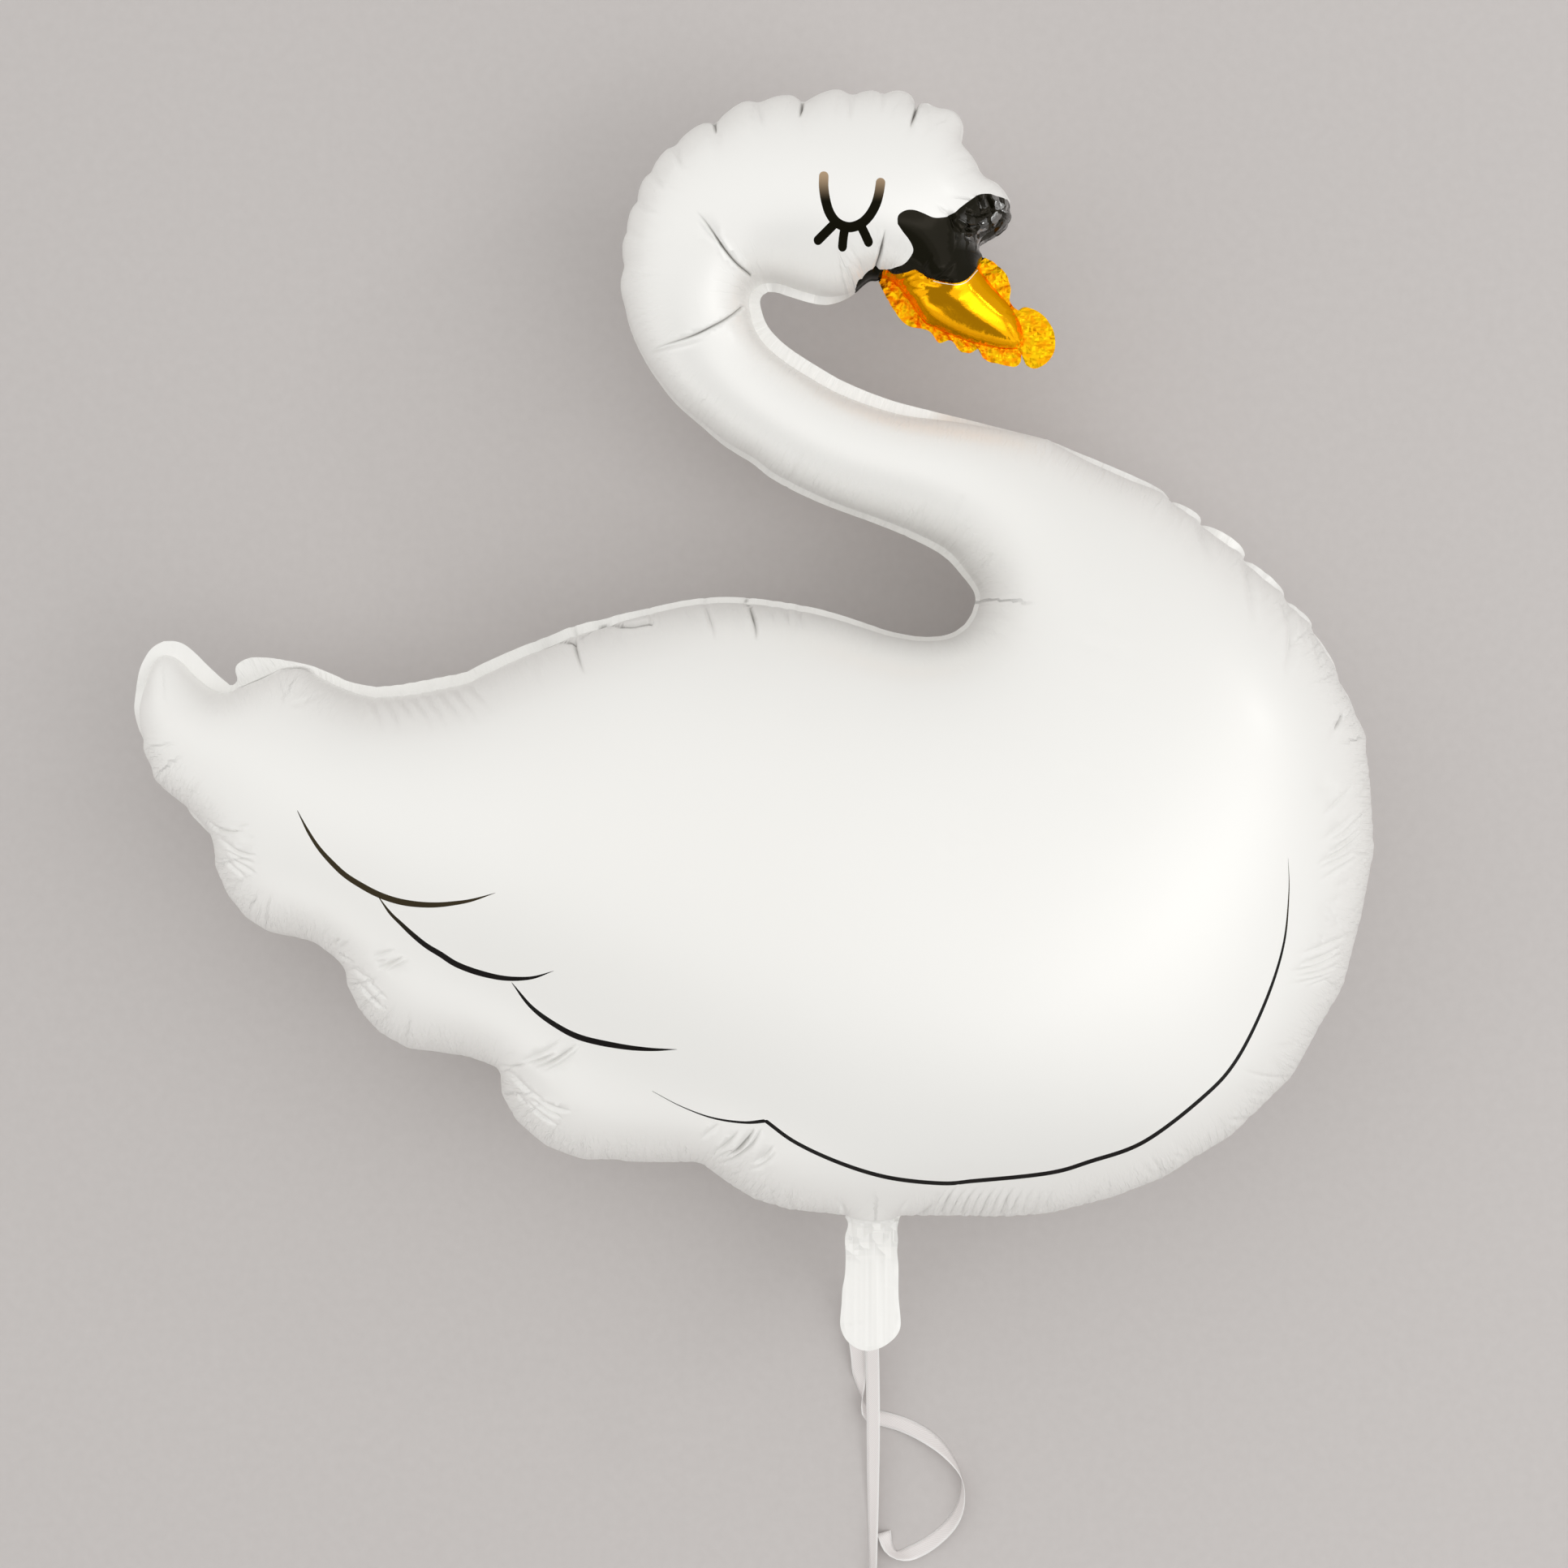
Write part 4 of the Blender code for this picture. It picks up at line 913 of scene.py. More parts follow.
def in_the_world(spots, bent, side):
    """Places above the seam plane as they stand on the floor, with the spot that is pressed flat."""
    world = spots.copy()
    world[:, 2] = SEAM_HEIGHT - bent + side * (FOIL_GAP + spots[:, 2])
    if side < 0:
        world[:, 2] = (world[:, 2] + np.sqrt(world[:, 2] ** 2 + PRESSED_EDGE ** 2)) / 2
    return world


def sealed_rows(side, ring_rise):
    """The rows of places from the band's inner line out to the seal and over the flange."""
    slope = ring_rise / band_line
    fade = into_tab(seal_line, side)
    numbers = np.arange(len(seal_line))
    rows = []
    for row in range(BAND_ROWS - 1, -1, -1):
        behind = band_line * (row / BAND_ROWS) ** 2
        places = seal_line - seal_out * behind[:, None]
        heights = loft(slope * behind) * fade
        facing = np.column_stack([seal_out * (slope * fade ** 2)[:, None], heights])
        facing /= np.linalg.norm(facing, axis=1)[:, None]
        spots, bent = pressed_in(places, heights, facing, sunk_in(places, behind, numbers))
        rows.append((in_the_world(spots, bent, side), places, behind, heights))
    root = rows[-1][0].copy()
    root[:, 2] -= side * FOIL_GAP
    for share in np.linspace(0, 1, FLANGE_ROWS + 1)[1:]:
        spots = root.copy()
        spots[:, :2] += flange_reach * share
        spots[:, 2] += side * FOIL_GAP * (1 - share) - flange_drop * share
        spots[:, 2] += ruffle * ruffle_size * share ** 0.8
        rows.append((spots, seal_line + flange_reach * share, -share * np.maximum(shown_line, THIN_RIM),
                     np.zeros(len(seal_line))))
    return rows


def make_sheet(side, zones):
    """One sheet with its half of the flange. Each vertex keeps its place on the flat cut and how far it is
    behind the seal, the number of the nearest seal place, its height, and the painted shade of its sharp
    folds."""
    places, triangles = cut_sheet(zones, BLACK_AREAS + [GOLD_AREA, MASK_RIM] + FEATHER_LINES,
                                  fold_edges if side > 0 else [])
    rise = filled_rise(places, triangles)
    heights = loft(rise) * into_tab(places, side)
    depth, near = behind_seal(places)
    facing = face_sums(np.column_stack([places, heights]), triangles)
    ring = len(seal_line)
    slope = rise[:ring] / band_line * into_tab(seal_line, side) ** 2
    facing[:ring] = np.column_stack([seal_out * slope[:, None], heights[:ring]])
    facing[:ring] /= np.linalg.norm(facing[:ring], axis=1)[:, None]
    spots, bent = pressed_in(places, heights, facing, sunk_in(places, depth, near))
    plain = bpy.data.meshes.new("sheet")
    plain.from_pydata(in_the_world(spots, bent, side).tolist(), [], triangles.tolist())
    sheet = bmesh.new()
    sheet.from_mesh(plain)
    bpy.data.meshes.remove(plain)
    turn = sheet.verts.layers.int.new("turn")
    cut = sheet.verts.layers.float_vector.new("cut")
    lifted = sheet.verts.layers.float.new("lifted")
    for vert, place, behind, i, height in zip(sheet.verts, places, depth, near, heights):
        vert[cut] = (*place, behind)
        vert[turn] = int(i) + 1
        vert[lifted] = height
    edges = [edge for edge in sheet.edges if edge.is_boundary]
    for row_spots, row_places, behind, height in sealed_rows(side, rise[:ring]):
        grown = bmesh.ops.extrude_edge_only(sheet, edges=edges)["geom"]
        fresh = {part for part in grown if isinstance(part, bmesh.types.BMVert)}
        for vert in fresh:
            i = vert[turn] - 1
            vert.co = row_spots[i]
            vert[cut] = (*row_places[i], behind[i])
            vert[lifted] = height[i]
        edges = [part for part in grown
                 if isinstance(part, bmesh.types.BMEdge) and fresh.issuperset(part.verts)]
    # painted shade for the sharp folds, kept on each vertex for the pearl foil's colour
    painted_fold_shade = sheet.verts.layers.float.new("painted_fold_shade")
    flat = np.array([vert[cut][:2] for vert in sheet.verts])
    lifts = np.array([vert[lifted] for vert in sheet.verts])
    for vert, tight in zip(sheet.verts, painted_fold_shade_at(flat, lifts)):
        vert[painted_fold_shade] = tight * (1 if side > 0 else BACK_FOLD_SHADE)
    made = bpy.data.meshes.new("sheet")
    sheet.to_mesh(made)
    sheet.free()
    return made


def outlined(body):
    """Paints the joined sheets, splits the shading at the seal and the rim, and keeps the places."""
    cut = body.verts.layers.float_vector["cut"]
    turn = body.verts.layers.int["turn"]
    along = body.verts.layers.float.new("along_seal")
    behind = body.verts.layers.float.new("behind_seal")
    drawn = body.verts.layers.float.new("drawn")
    for vert in body.verts:
        vert[along] = seal_travelled[vert[turn] - 1]
        vert[behind] = vert[cut].z
        vert[drawn] = drawn_line[vert[turn] - 1]
    centres = np.array([sum((vert[cut] for vert in face.verts), Vector())[:2] for face in body.faces])
    centres /= np.array([len(face.verts) for face in body.faces])[:, None]
    for face, colour in zip(body.faces, printed(centres)):
        face.material_index = int(colour)
        face.smooth = True
    for edge in body.edges:
        at_seal = [abs(vert[cut].z) < ON_SEAL for vert in edge.verts]
        at_rim = [vert[cut].z < -0.99 * max(shown_line[vert[turn] - 1], THIN_RIM) for vert in edge.verts]
        edge.smooth = not (all(at_seal) or all(at_rim))


swan = bmesh.new()
for side, zones in ((1, FRONT_ZONES), (-1, BACK_ZONES)):
    sheet = make_sheet(side, zones)
    swan.from_mesh(sheet)
    bpy.data.meshes.remove(sheet)
rim_verts = [vert for vert in swan.verts if vert.is_boundary]
bmesh.ops.remove_doubles(swan, verts=rim_verts, dist=MERGE_REACH)
bmesh.ops.recalc_face_normals(swan, faces=swan.faces)
outlined(swan)
mesh = bpy.data.meshes.new("foil_swan")
swan.to_mesh(mesh)
swan.free()
foil_swan = bpy.data.objects.new("foil_swan_filled", mesh)
bpy.context.scene.collection.objects.link(foil_swan)
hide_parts("foil_swan")
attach(foil_swan, "root")


def node(tree, kind, inputs=None, **settings):
    """A shader node with its settings, and its inputs as values or as other nodes' outputs."""
    made = tree.nodes.new(kind)
    for name, value in settings.items():
        setattr(made, name, value)
    for name, value in (inputs or {}).items():
        if isinstance(value, bpy.types.NodeSocket):
            tree.links.new(value, made.inputs[name])
        else:
            made.inputs[name].default_value = value
    return made


def finish(name, values):
    """A new material with plain values on its Principled shader: the material, its tree and the shader."""
    material = bpy.data.materials.new(name)
    material.use_nodes = True
    tree = material.node_tree
    shader = tree.nodes["Principled BSDF"]
    for socket, value in values.items():
        shader.inputs[socket].default_value = value
    return material, tree, shader


def sheet_value(tree, name):
    """What each vertex of the sheets keeps under a name."""
    return node(tree, "ShaderNodeAttribute", attribute_name=name).outputs["Fac"]


def own_place(tree):
    """The place on the object, in metres."""
    return node(tree, "ShaderNodeTexCoord").outputs["Object"]


def sum_of(tree, operation, *numbers):
    """One step of arithmetic."""
    return node(tree, "ShaderNodeMath", dict(enumerate(numbers)), operation=operation).outputs[0]


def spread(tree, number, start, end, low=0.0, high=1.0, **settings):
    """A number that goes from start to end, made to go from low to high."""
    inputs = {"Value": number, "From Min": start, "From Max": end, "To Min": low, "To Max": high}
    return node(tree, "ShaderNodeMapRange", inputs, **settings).outputs["Result"]


def blend(tree, share, first, second):
    """A colour on the way from the first to the second."""
    inputs = {"Factor": share, "A": first, "B": second}
    return node(tree, "ShaderNodeMix", inputs, data_type="RGBA").outputs["Result"]


def noise(tree, place, scale, detail, roughness=0.5, **settings):
    """Soft noise, so many waves to the metre."""
    inputs = {"Vector": place, "Scale": scale, "Detail": detail, "Roughness": roughness}
    return node(tree, "ShaderNodeTexNoise", inputs, **settings).outputs["Fac"]


def facets(tree, scale, output="Distance"):
    """The flat facets of crumpled film, so many to the metre."""
    return node(tree, "ShaderNodeTexVoronoi", {"Vector": own_place(tree), "Scale": scale}, feature="F1",
                distance="MANHATTAN").outputs[output]


def bump(tree, height, strength, distance, below=None):
    """The normal of a relief, laid over the one below it."""
    inputs = {"Height": height, "Strength": strength, "Distance": distance}
    if below is not None:
        inputs["Normal"] = below
    return node(tree, "ShaderNodeBump", inputs).outputs["Normal"]


def join(tree, shader, outputs):
    """Links outputs to the shader's sockets."""
    for socket, output in outputs.items():
        tree.links.new(output, shader.inputs[socket])


def drawn_film(tree, reach, apart):
    """The height of the fine puckers that the tight seal draws in the film: how far in from the seal they
    reach, and how far apart they are."""
    behind = sheet_value(tree, "behind_seal")
    across = sum_of(tree, "MULTIPLY", sheet_value(tree, "along_seal"), 1 / apart)
    inward = sum_of(tree, "MULTIPLY", behind, 0.16 / apart)
    spot = node(tree, "ShaderNodeCombineXYZ", {"X": across, "Y": inward}).outputs["Vector"]
    streaks = noise(tree, spot, 1.0, 2.0, 0.6, noise_dimensions="2D")
    fade = spread(tree, behind, 0.0, reach, 1.0, 0.0, interpolation_type="SMOOTHERSTEP")
    fade = sum_of(tree, "MULTIPLY", fade, sheet_value(tree, "drawn"))
    return sum_of(tree, "MULTIPLY", streaks, fade)


def crumpled(tree, size, reach):
    """Crumpled film out over the flange and a reach behind it: its height, and how crumpled it is."""
    fade = spread(tree, sheet_value(tree, "behind_seal"), reach * 0.3, reach, 1.0, 0.0)
    return sum_of(tree, "MULTIPLY", facets(tree, 1 / size), fade), fade


def pearl_foil():
    """White pearl coating on aluminised film: a satin body that mirrors softly, under a clear gloss. Sharp
    folds get a painted shade, tinted near black in their valleys. The tab is crumpled at its root and drawn
    in long streaks below."""
    material, tree, shader = finish("pearl_foil", {
        "Roughness": 0.42, "Specular IOR Level": 0.55, "Coat Weight": 0.25, "Coat Roughness": 0.22,
        "Metallic": 0.13})
    place = own_place(tree)
    film = blend(tree, noise(tree, place, 5.0, 3.0), (0.895, 0.885, 0.86, 1), (0.92, 0.915, 0.895, 1))
    # painted shade: the sharp folds are tinted near black along their valleys, standing in for their shadow
    tint = blend(tree, sheet_value(tree, "painted_fold_shade"), film, (0.06, 0.05, 0.035, 1))
    drawn = bump(tree, drawn_film(tree, 0.034, 0.0030), 0.8, 0.0022)
    soft = bump(tree, noise(tree, place, 28.0, 2.0), 0.10, 0.002, drawn)
    up = node(tree, "ShaderNodeSeparateXYZ", {"Vector": place}).outputs["Y"]
    in_tab = spread(tree, up, TAB_ROOT.y, TAB_ROOT.y - 0.005)
    near_root = spread(tree, up, TAB_ROOT.y - 0.034, TAB_ROOT.y - 0.014, interpolation_type="SMOOTHERSTEP")
    crumple = sum_of(tree, "SUBTRACT", facets(tree, 95.0), 0.45)
    crumple = sum_of(tree, "MULTIPLY", crumple, sum_of(tree, "MULTIPLY", in_tab, near_root))
    tied = bump(tree, crumple, 0.75, 0.0032, soft)
    lengthways = node(tree, "ShaderNodeMapping", {"Vector": place, "Scale": (190.0, 7.0, 7.0)})
    streaks = noise(tree, lengthways.outputs["Vector"], 1.0, 1.0)
    pulled = bump(tree, sum_of(tree, "MULTIPLY", streaks, in_tab), 0.45, 0.0020, tied)
    join(tree, shader, {"Base Color": tint, "Normal": pulled})
    return material


def black_print():
    """Black ink over the bare metal of the film, so it mirrors the room. At the upper ends of the closed eye
    it is painted bronze, a painted highlight. Over the knob it is crumpled, and bare metal shows on some of
    its facets."""
    material, tree, shader = finish("black_print", {
        "Roughness": 0.12, "Specular Tint": (1.0, 0.88, 0.74, 1), "Coat Roughness": 0.06, "Coat IOR": 3.2})
    place = own_place(tree)
    parts = node(tree, "ShaderNodeSeparateXYZ", {"Vector": place})
    right, up = parts.outputs["X"], parts.outputs["Y"]
    ink = blend(tree, noise(tree, place, 22.0, 3.0), (0.004, 0.004, 0.002, 1), (0.012, 0.011, 0.006, 1))
    # painted highlight: the upper ends of the closed eye are tinted bronze, standing in for the bright
    # reflection there
    eye_low, eye_high = on_seam((1090, 268)), on_seam((1100, 230))
    browned = spread(tree, up, eye_low.y, eye_high.y, interpolation_type="SMOOTHSTEP")
    browned = sum_of(tree, "MULTIPLY", browned, sum_of(tree, "LESS_THAN", right, eye_high.x))
    tint = blend(tree, browned, ink, (0.46, 0.33, 0.21, 1))
    knob_low, knob_high = on_seam((1166, 318)), on_seam((1188, 298))
    knob = sum_of(tree, "MULTIPLY", spread(tree, right, knob_low.x, knob_high.x),
                  spread(tree, up, knob_low.y, knob_high.y))
    height, crumple = crumpled(tree, 0.0120, 0.019)
    crumple = sum_of(tree, "MULTIPLY", crumple, knob)
    height = sum_of(tree, "MULTIPLY", height, knob)
    past_hook = spread(tree, right, on_seam((1092, 350)).x, on_seam((1106, 350)).x, 0.1)
    gloss = sum_of(tree, "MULTIPLY", spread(tree, crumple, 0.0, 1.0, 0.10, 0.28), past_hook)
    bare = node(tree, "ShaderNodeSeparateColor", {"Color": facets(tree, 150.0, "Color")}).outputs["Red"]
    bare = sum_of(tree, "MULTIPLY", spread(tree, bare, 0.58, 0.80), crumple)
    drawn = bump(tree, drawn_film(tree, 0.016, 0.0040), 0.35, 0.0012)
    join(tree, shader, {"Base Color": tint, "Specular IOR Level": gloss, "Coat Weight": bare,
                        "Normal": bump(tree, height, 0.9, 0.0060, drawn)})
    return material


def gold_print():
    """Clear yellow over the bare metal: a mirror where the bill is full, and crumpled on its flange. The
    flange is
    painted more orange and mottled: partly the film's own tint, partly painted reflection of warm
    surroundings."""
    material, tree, shader = finish("gold_print", {"Metallic": 1.0, "Specular Tint": (1.0, 0.62, 0.10, 1)})
    place = own_place(tree)
    full = spread(tree, sheet_value(tree, "behind_seal"), -0.0005, 0.0010)
    right = node(tree, "ShaderNodeSeparateXYZ", {"Vector": place}).outputs["X"]
    tip = spread(tree, right, on_seam((1170, 400)).x, on_seam((1275, 400)).x, 1.0, 0.6)
    # partly painted reflection: the flange's orange and its yellow to orange mottle stand in partly for warm
    # reflections in the crumpled film
    tint_and_sheen_mottle = sum_of(tree, "MULTIPLY", spread(tree, noise(tree, place, 240.0, 3.0), 0.38, 0.64), tip)
    flange = blend(tree, tint_and_sheen_mottle, (1.0, 0.60, 0.005, 1), (1.0, 0.27, 0.003, 1))
    tint = blend(tree, full, flange, (1.0, 0.44, 0.004, 1))
    drawn = bump(tree, drawn_film(tree, 0.010, 0.0022), 0.4, 0.0008)
    folded = bump(tree, crumpled(tree, 0.0036, 0.0012)[0], 0.6, 0.0011, drawn)
    fine = bump(tree, noise(tree, place, 420.0, 3.0, 0.7), 0.12, 0.0006, folded)
    join(tree, shader, {"Base Color": tint, "Roughness": spread(tree, full, 0.0, 1.0, 0.42, 0.13),
                        "Normal": fine})
    return material


def line_print():
    """The feather lines: black ink, thinner and brown in the upper lines."""
    material, tree, shader = finish("line_print", {"Roughness": 0.3, "Specular IOR Level": 0.15})
    place = own_place(tree)
    ink = blend(tree, noise(tree, place, 60.0, 2.0), (0.003, 0.002, 0.002, 1), (0.010, 0.008, 0.007, 1))
    up = node(tree, "ShaderNodeSeparateXYZ", {"Vector": place}).outputs["Y"]
    browned = spread(tree, up, on_seam((0, 1150)).y, on_seam((0, 1105)).y)
    join(tree, shader, {"Base Color": blend(tree, browned, ink, (0.035, 0.025, 0.010, 1))})
    return material


for material in (pearl_foil(), black_print(), gold_print(), line_print()):
    mesh.materials.append(material)


# The curling ribbon
# One flat polypropylene ribbon, 9.5 mm wide, tied behind the tab. Its long end runs down over the floor
# to a coil of the length that isn't in use, and its short end has been drawn over a blade, so it curls.
RIBBON_WIDTH = 0.0095
RIBBON_THICKNESS = 0.00025
RIBBON_CUP = 0.0002         # how far its middle stands over its edges
RIBBON_STEP = 0.0035
RIBBON_PARTING = 0.0005
KNOT_LENGTH = 0.012
KNOT_SET_BACK = 0.004
KNOT_THICKNESS = 0.005
KNOT_STRAND = 0.0042        # the ribbon's width where it is pulled tight
KNOT_STEPS = 96
TOUCH_GAP = 0.0003
SOLID_SEAL = 0.0012         # the thickness of the seal in the solids
SOLID_RIBBON = 0.0008
COIL_RADIUS = 0.044
COIL_WALL = 0.016
COIL_DISTANCE = 0.240
COIL_TURN_GAP = 0.0042
COIL_CLEAR = 0.0006         # kept free inside the last turn
COIL_HEIGHT = 0.0053        # of the ribbon's middle, where it stands on edge
COIL_STEPS = 36
FLOOR_SPREAD = 1.061        # a place on the floor is seen this much nearer to the view's middle
RIBBON_APART = (RIBBON_WIDTH + RIBBON_PARTING) / 2
knot_middle = Vector((TAB_ROOT.x - RIBBON_APART, TAB_ROOT.y - KNOT_SET_BACK - KNOT_LENGTH / 2,
                      SEAM_HEIGHT - SOLID_SEAL / 2 - TOUCH_GAP - KNOT_THICKNESS / 2))
KNOT_FRONT = knot_middle.y - KNOT_LENGTH / 2 - TOUCH_GAP


def ribbon_strip(name, route, width, thickness, cupped=0.0):
    """A flat ribbon along rows of x, y, z and the lean of its width in degrees, as a new object. Its UV
    map runs along it in metres and across it from 0 to 1."""
    count = len(route)
    places = [Vector(row[:3]) for row in route]
    travelled = np.concatenate([[0], np.cumsum(np.linalg.norm(np.diff(route[:, :3], axis=0), axis=1))])
    bent = bmesh.new()
    bmesh.ops.create_grid(bent, x_segments=count - 1, y_segments=4, size=0.5)
    spot = {vert: (round((vert.co.x + 0.5) * (count - 1)), vert.co.y * 2) for vert in bent.verts}
    chart = bent.loops.layers.uv.new("ribbon")
    for vert, (i, side) in spot.items():
        heading = (places[min(i + 1, count - 1)] - places[max(i - 1, 0)]).normalized()
        level = Vector((0, 0, 1)).cross(heading).normalized()
        lean = math.radians(route[i][3])
        across = level * math.cos(lean) + heading.cross(level) * math.sin(lean)
        middle = places[i].copy()
        middle.z = max(middle.z, (abs(across.z) * width + thickness * 1.2) / 2)
        vert.co = middle + across * side * width / 2 + across.cross(heading) * cupped * (1 - side ** 2)
    for face in bent.faces:
        face.smooth = True
        for loop in face.loops:
            i, side = spot[loop.vert]
            loop[chart].uv = (travelled[i], (side + 1) / 2)
    mesh = bpy.data.meshes.new(name)
    bent.to_mesh(mesh)
    bent.free()
    ribbon = bpy.data.objects.new(name, mesh)
    bpy.context.scene.collection.objects.link(ribbon)
    wall = ribbon.modifiers.new("thickness", "SOLIDIFY")
    wall.thickness = thickness
    wall.offset = 0
    return ribbon


def ribbon_satin():
    """Milky satin film, ribbed aslant, a little clearer and brighter along both edges."""
    material, tree, shader = finish("ribbon_satin", {"Roughness": 0.30, "Specular IOR Level": 0.5,
                                                     "Coat Weight": 0.25, "Coat Roughness": 0.2})
    chart = node(tree, "ShaderNodeUVMap", uv_map="ribbon").outputs["UV"]
    parts = node(tree, "ShaderNodeSeparateXYZ", {"Vector": chart})
    along, side = parts.outputs["X"], parts.outputs["Y"]
    slant = sum_of(tree, "ADD", along, sum_of(tree, "MULTIPLY", side, RIBBON_WIDTH))
    spot = node(tree, "ShaderNodeCombineXYZ", {"X": slant}).outputs["Vector"]
    ribs = node(tree, "ShaderNodeTexWave", {"Vector": spot, "Scale": 250.0, "Distortion": 1.5, "Detail": 2.0},
                bands_direction="X").outputs["Fac"]
    off_middle = sum_of(tree, "ABSOLUTE", sum_of(tree, "SUBTRACT", side, 0.5))
    body = blend(tree, ribs, (0.76, 0.71, 0.70, 1), (0.90, 0.87, 0.86, 1))
    tint = blend(tree, spread(tree, off_middle, 0.36, 0.48), body, (0.95, 0.94, 0.93, 1))
    join(tree, shader, {"Base Color": tint, "Normal": bump(tree, ribs, 0.3, 0.0001)})
    return material


satin = ribbon_satin()
start_z = knot_middle.z
run_x = knot_middle.x + RIBBON_APART
tail_x = knot_middle.x - RIBBON_APART
floor_x = run_x + 0.0035
end_y = TAB_ROOT.y - TAB_LENGTH - COIL_DISTANCE
coil_outer = COIL_RADIUS + COIL_WALL / 2
coil_start = coil_outer - SOLID_RIBBON
coil_x = floor_x - coil_start
meet_y = end_y + math.sqrt(coil_outer ** 2 - (coil_start - SOLID_RIBBON / 2) ** 2) + TOUCH_GAP
run = [(run_x, KNOT_FRONT, start_z, 0),
       (run_x, KNOT_FRONT - 0.010, start_z - 0.0008, 0),
       (run_x, KNOT_FRONT - 0.024, start_z - 0.011, 0),
       (run_x, KNOT_FRONT - 0.036, start_z - 0.033, 0),
       (run_x + 0.0005, KNOT_FRONT - 0.046, start_z * 0.50, 6),
       (run_x + 0.0010, KNOT_FRONT - 0.056, start_z * 0.28, 14),
       (run_x + 0.0020, KNOT_FRONT - 0.070, 0.0220, 22),
       (run_x + 0.0028, KNOT_FRONT - 0.090, 0.0145, 25),
       (run_x + 0.0033, KNOT_FRONT - 0.112, 0.0122, 27),
       (floor_x, KNOT_FRONT - 0.135, 0.0115, 30),
       (floor_x, KNOT_FRONT - 0.162, 0.0078, 36),
       (floor_x, KNOT_FRONT - 0.200, 0.0050, 50),
       (floor_x, (KNOT_FRONT - 0.200 + meet_y) / 2, 0.0052, 72),
       (floor_x, meet_y + 0.012, COIL_HEIGHT, 90),
       (floor_x, meet_y, COIL_HEIGHT, 90)]
turns = (coil_start - (COIL_RADIUS - COIL_WALL / 2) - COIL_CLEAR) / COIL_TURN_GAP
wound = []
for i in range(round(turns * COIL_STEPS) + 1):
    angle = 2 * math.pi * i / COIL_STEPS
    radius = coil_start - COIL_TURN_GAP * i / COIL_STEPS
    wound.append((coil_x + radius * math.cos(angle), end_y - radius * math.sin(angle), COIL_HEIGHT, 90))
run_route = smooth_line(run + wound, RIBBON_STEP)
long_end = ribbon_strip("ribbon_long_end", run_route, RIBBON_WIDTH, RIBBON_THICKNESS, RIBBON_CUP)

tail = [(tail_x, KNOT_FRONT, start_z, 0),
        (tail_x, KNOT_FRONT - 0.010, start_z - 0.0008, 0),
        (tail_x, KNOT_FRONT - 0.023, start_z - 0.012, 0),
        (tail_x, KNOT_FRONT - 0.034, start_z - 0.036, 0),
        (tail_x, KNOT_FRONT - 0.043, start_z * 0.46, 0),
        (tail_x + 0.0005, KNOT_FRONT - 0.052, start_z * 0.24, 2),
        (tail_x + 0.0010, KNOT_FRONT - 0.066, 0.0140, 4)]
curl = [(1057, 1668, 0.0075, 8), (1058, 1686, 0.0055, 20), (1060, 1704, 0.0050, 52),
        (1062, 1722, 0.0052, 92), (1066, 1738, 0.0045, 125), (1076, 1745, 0.0020, 158),
        (1094, 1750, 0.0010, 175), (1116, 1757, 0.0012, 170), (1142, 1770, 0.0030, 152),
        (1165, 1789, 0.0045, 122), (1183, 1816, 0.0050, 92), (1185, 1846, 0.0048, 70),
        (1174, 1874, 0.0038, 48), (1150, 1898, 0.0025, 30), (1126, 1912, 0.0020, 26),
        (1106, 1915, 0.0044, 66), (1094, 1905, 0.0040, 48), (1089, 1887, 0.0034, 18)]
view_middle = on_seam(VIEW_MIDDLE_PIXEL)
for pixel_x, pixel_y, height, lean in curl:
    spot = (on_seam((pixel_x, pixel_y)) - view_middle) * FLOOR_SPREAD + view_middle
    tail.append((*spot, height, lean))
tail_route = smooth_line(tail, RIBBON_STEP)
short_end = ribbon_strip("ribbon_short_end", tail_route, RIBBON_WIDTH, RIBBON_THICKNESS, RIBBON_CUP)

knot_route = []
for i in range(KNOT_STEPS + 1):
    t = 2 * math.pi * i / KNOT_STEPS
    knot_route.append((knot_middle.x + 0.0030 * (math.sin(t) + 2 * math.sin(2 * t)) * 0.92,
                       knot_middle.y + 0.0012 * (math.cos(t) - 2 * math.cos(2 * t)),
                       knot_middle.z - 0.0013 * math.sin(3 * t), 20 * math.sin(2 * t)))
knot = ribbon_strip("ribbon_knot_tied", np.array(knot_route), KNOT_STRAND, RIBBON_THICKNESS)

for ribbon in (long_end, short_end, knot):
    ribbon.data.materials.append(satin)
    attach(ribbon, "root")
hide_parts("ribbon_run", "ribbon_coil")
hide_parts("ribbon_tail")
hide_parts("ribbon_knot")


# The floor, the light and the camera
# A pale matt floor under wide soft lamps. The camera looks straight down from where the photograph does.
FLOOR_SIZE = 14
PHOTO_SIZE = 1932           # in pixels, each way
SENSOR_WIDTH = 36
floor_form = bmesh.new()
bmesh.ops.create_grid(floor_form, x_segments=2, y_segments=2, size=FLOOR_SIZE / 2)
floor_mesh = bpy.data.meshes.new("floor")
floor_form.to_mesh(floor_mesh)
floor_form.free()
floor = bpy.data.objects.new("floor", floor_mesh)
bpy.context.scene.collection.objects.link(floor)
material, tree, shader = finish("pale_floor", {"Roughness": 0.7, "Specular IOR Level": 0.3})
grain = noise(tree, own_place(tree), 160.0, 2.0)
join(tree, shader, {"Base Color": blend(tree, grain, (0.56, 0.53, 0.52, 1), (0.60, 0.57, 0.56, 1))})
floor_mesh.materials.append(material)


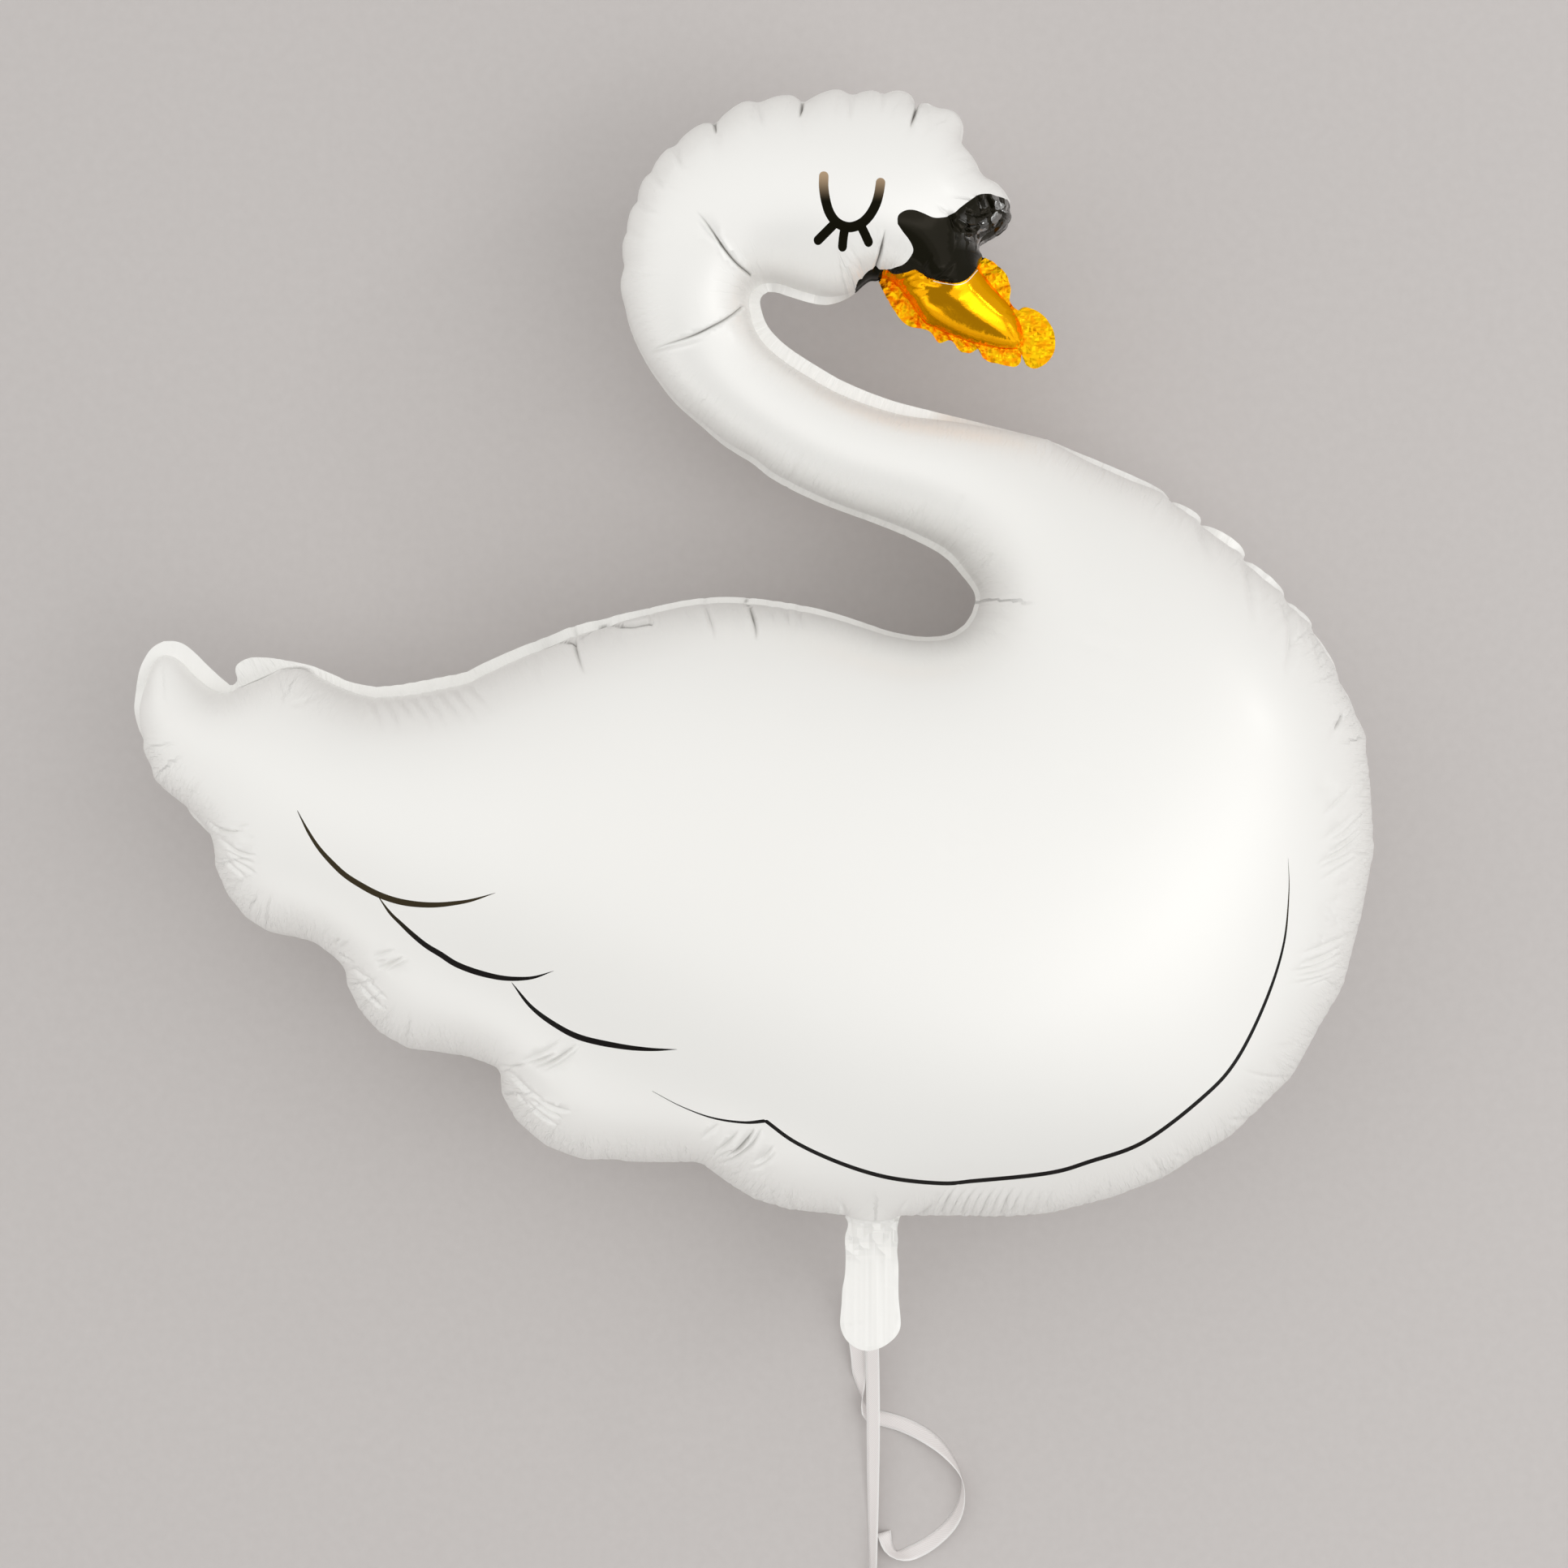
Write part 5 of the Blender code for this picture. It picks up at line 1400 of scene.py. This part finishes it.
def soft_lamp(name, place, sides, power, turn=0):
    """A wide soft lamp that faces the middle of the view, turned about its own axis."""
    lamp_data = bpy.data.lights.new(name, "AREA")
    lamp_data.shape = "RECTANGLE"
    lamp_data.size, lamp_data.size_y = sides
    lamp_data.energy = power
    lamp = bpy.data.objects.new(name, lamp_data)
    bpy.context.scene.collection.objects.link(lamp)
    lamp.location = place
    facing = (Vector((place[0] * 0.6, place[1] * 0.6, 0)) - lamp.location).to_track_quat("-Z", "Y")
    lamp.rotation_euler = (facing @ Quaternion((0, 0, 1), math.radians(turn))).to_euler()


soft_lamp("side_window", (1.75, -0.15, 2.2), (2.2, 1.4), 7, -35)
soft_lamp("strip_lamp", (1.50, -0.38, 2.4), (2.2, 0.24), 3.0, -35)
soft_lamp("key_lamp", (2.7, 1.22, 2.0), (0.35, 0.35), 4.5)
world = bpy.data.worlds.new("studio")
world.use_nodes = True
tree = world.node_tree
heading = node(tree, "ShaderNodeTexCoord").outputs["Generated"]
upward = node(tree, "ShaderNodeVectorMath", {0: heading, 1: (0.57, 0.82, 0)}, operation="DOT_PRODUCT")
sideways = node(tree, "ShaderNodeVectorMath", {0: heading, 1: (0.82, -0.57, 0)}, operation="DOT_PRODUCT")
upward, sideways = upward.outputs["Value"], sideways.outputs["Value"]
window = spread(tree, upward, 0.0, 0.75, 1.14, 0.70)
open_side = spread(tree, upward, -0.36, -0.31)
left_side = spread(tree, sideways, -0.25, -0.5)
low_side = spread(tree, upward, -0.84, -0.90, 0.0, 1.7)
fill = sum_of(tree, "MAXIMUM", left_side, low_side)
dim = spread(tree, fill, 0.0, 1.0, 0.34, 0.98, clamp=False)
room = node(tree, "ShaderNodeMix", {"Factor": open_side, "A": dim, "B": window}).outputs["Result"]
background = tree.nodes["Background"]
background.inputs["Color"].default_value = (1.0, 0.995, 0.98, 1)
join(tree, background, {"Strength": room})
bpy.context.scene.world = world
bpy.context.scene.view_settings.view_transform = "Standard"

camera_data = bpy.data.cameras.new("camera")
camera_data.sensor_width = SENSOR_WIDTH
camera_data.lens = SENSOR_WIDTH * LENS_ABOVE_SEAM / (PHOTO_SIZE * PHOTO_PIXEL)
camera = bpy.data.objects.new("camera", camera_data)
camera.location = LENS
bpy.context.scene.collection.objects.link(camera)
bpy.context.scene.camera = camera
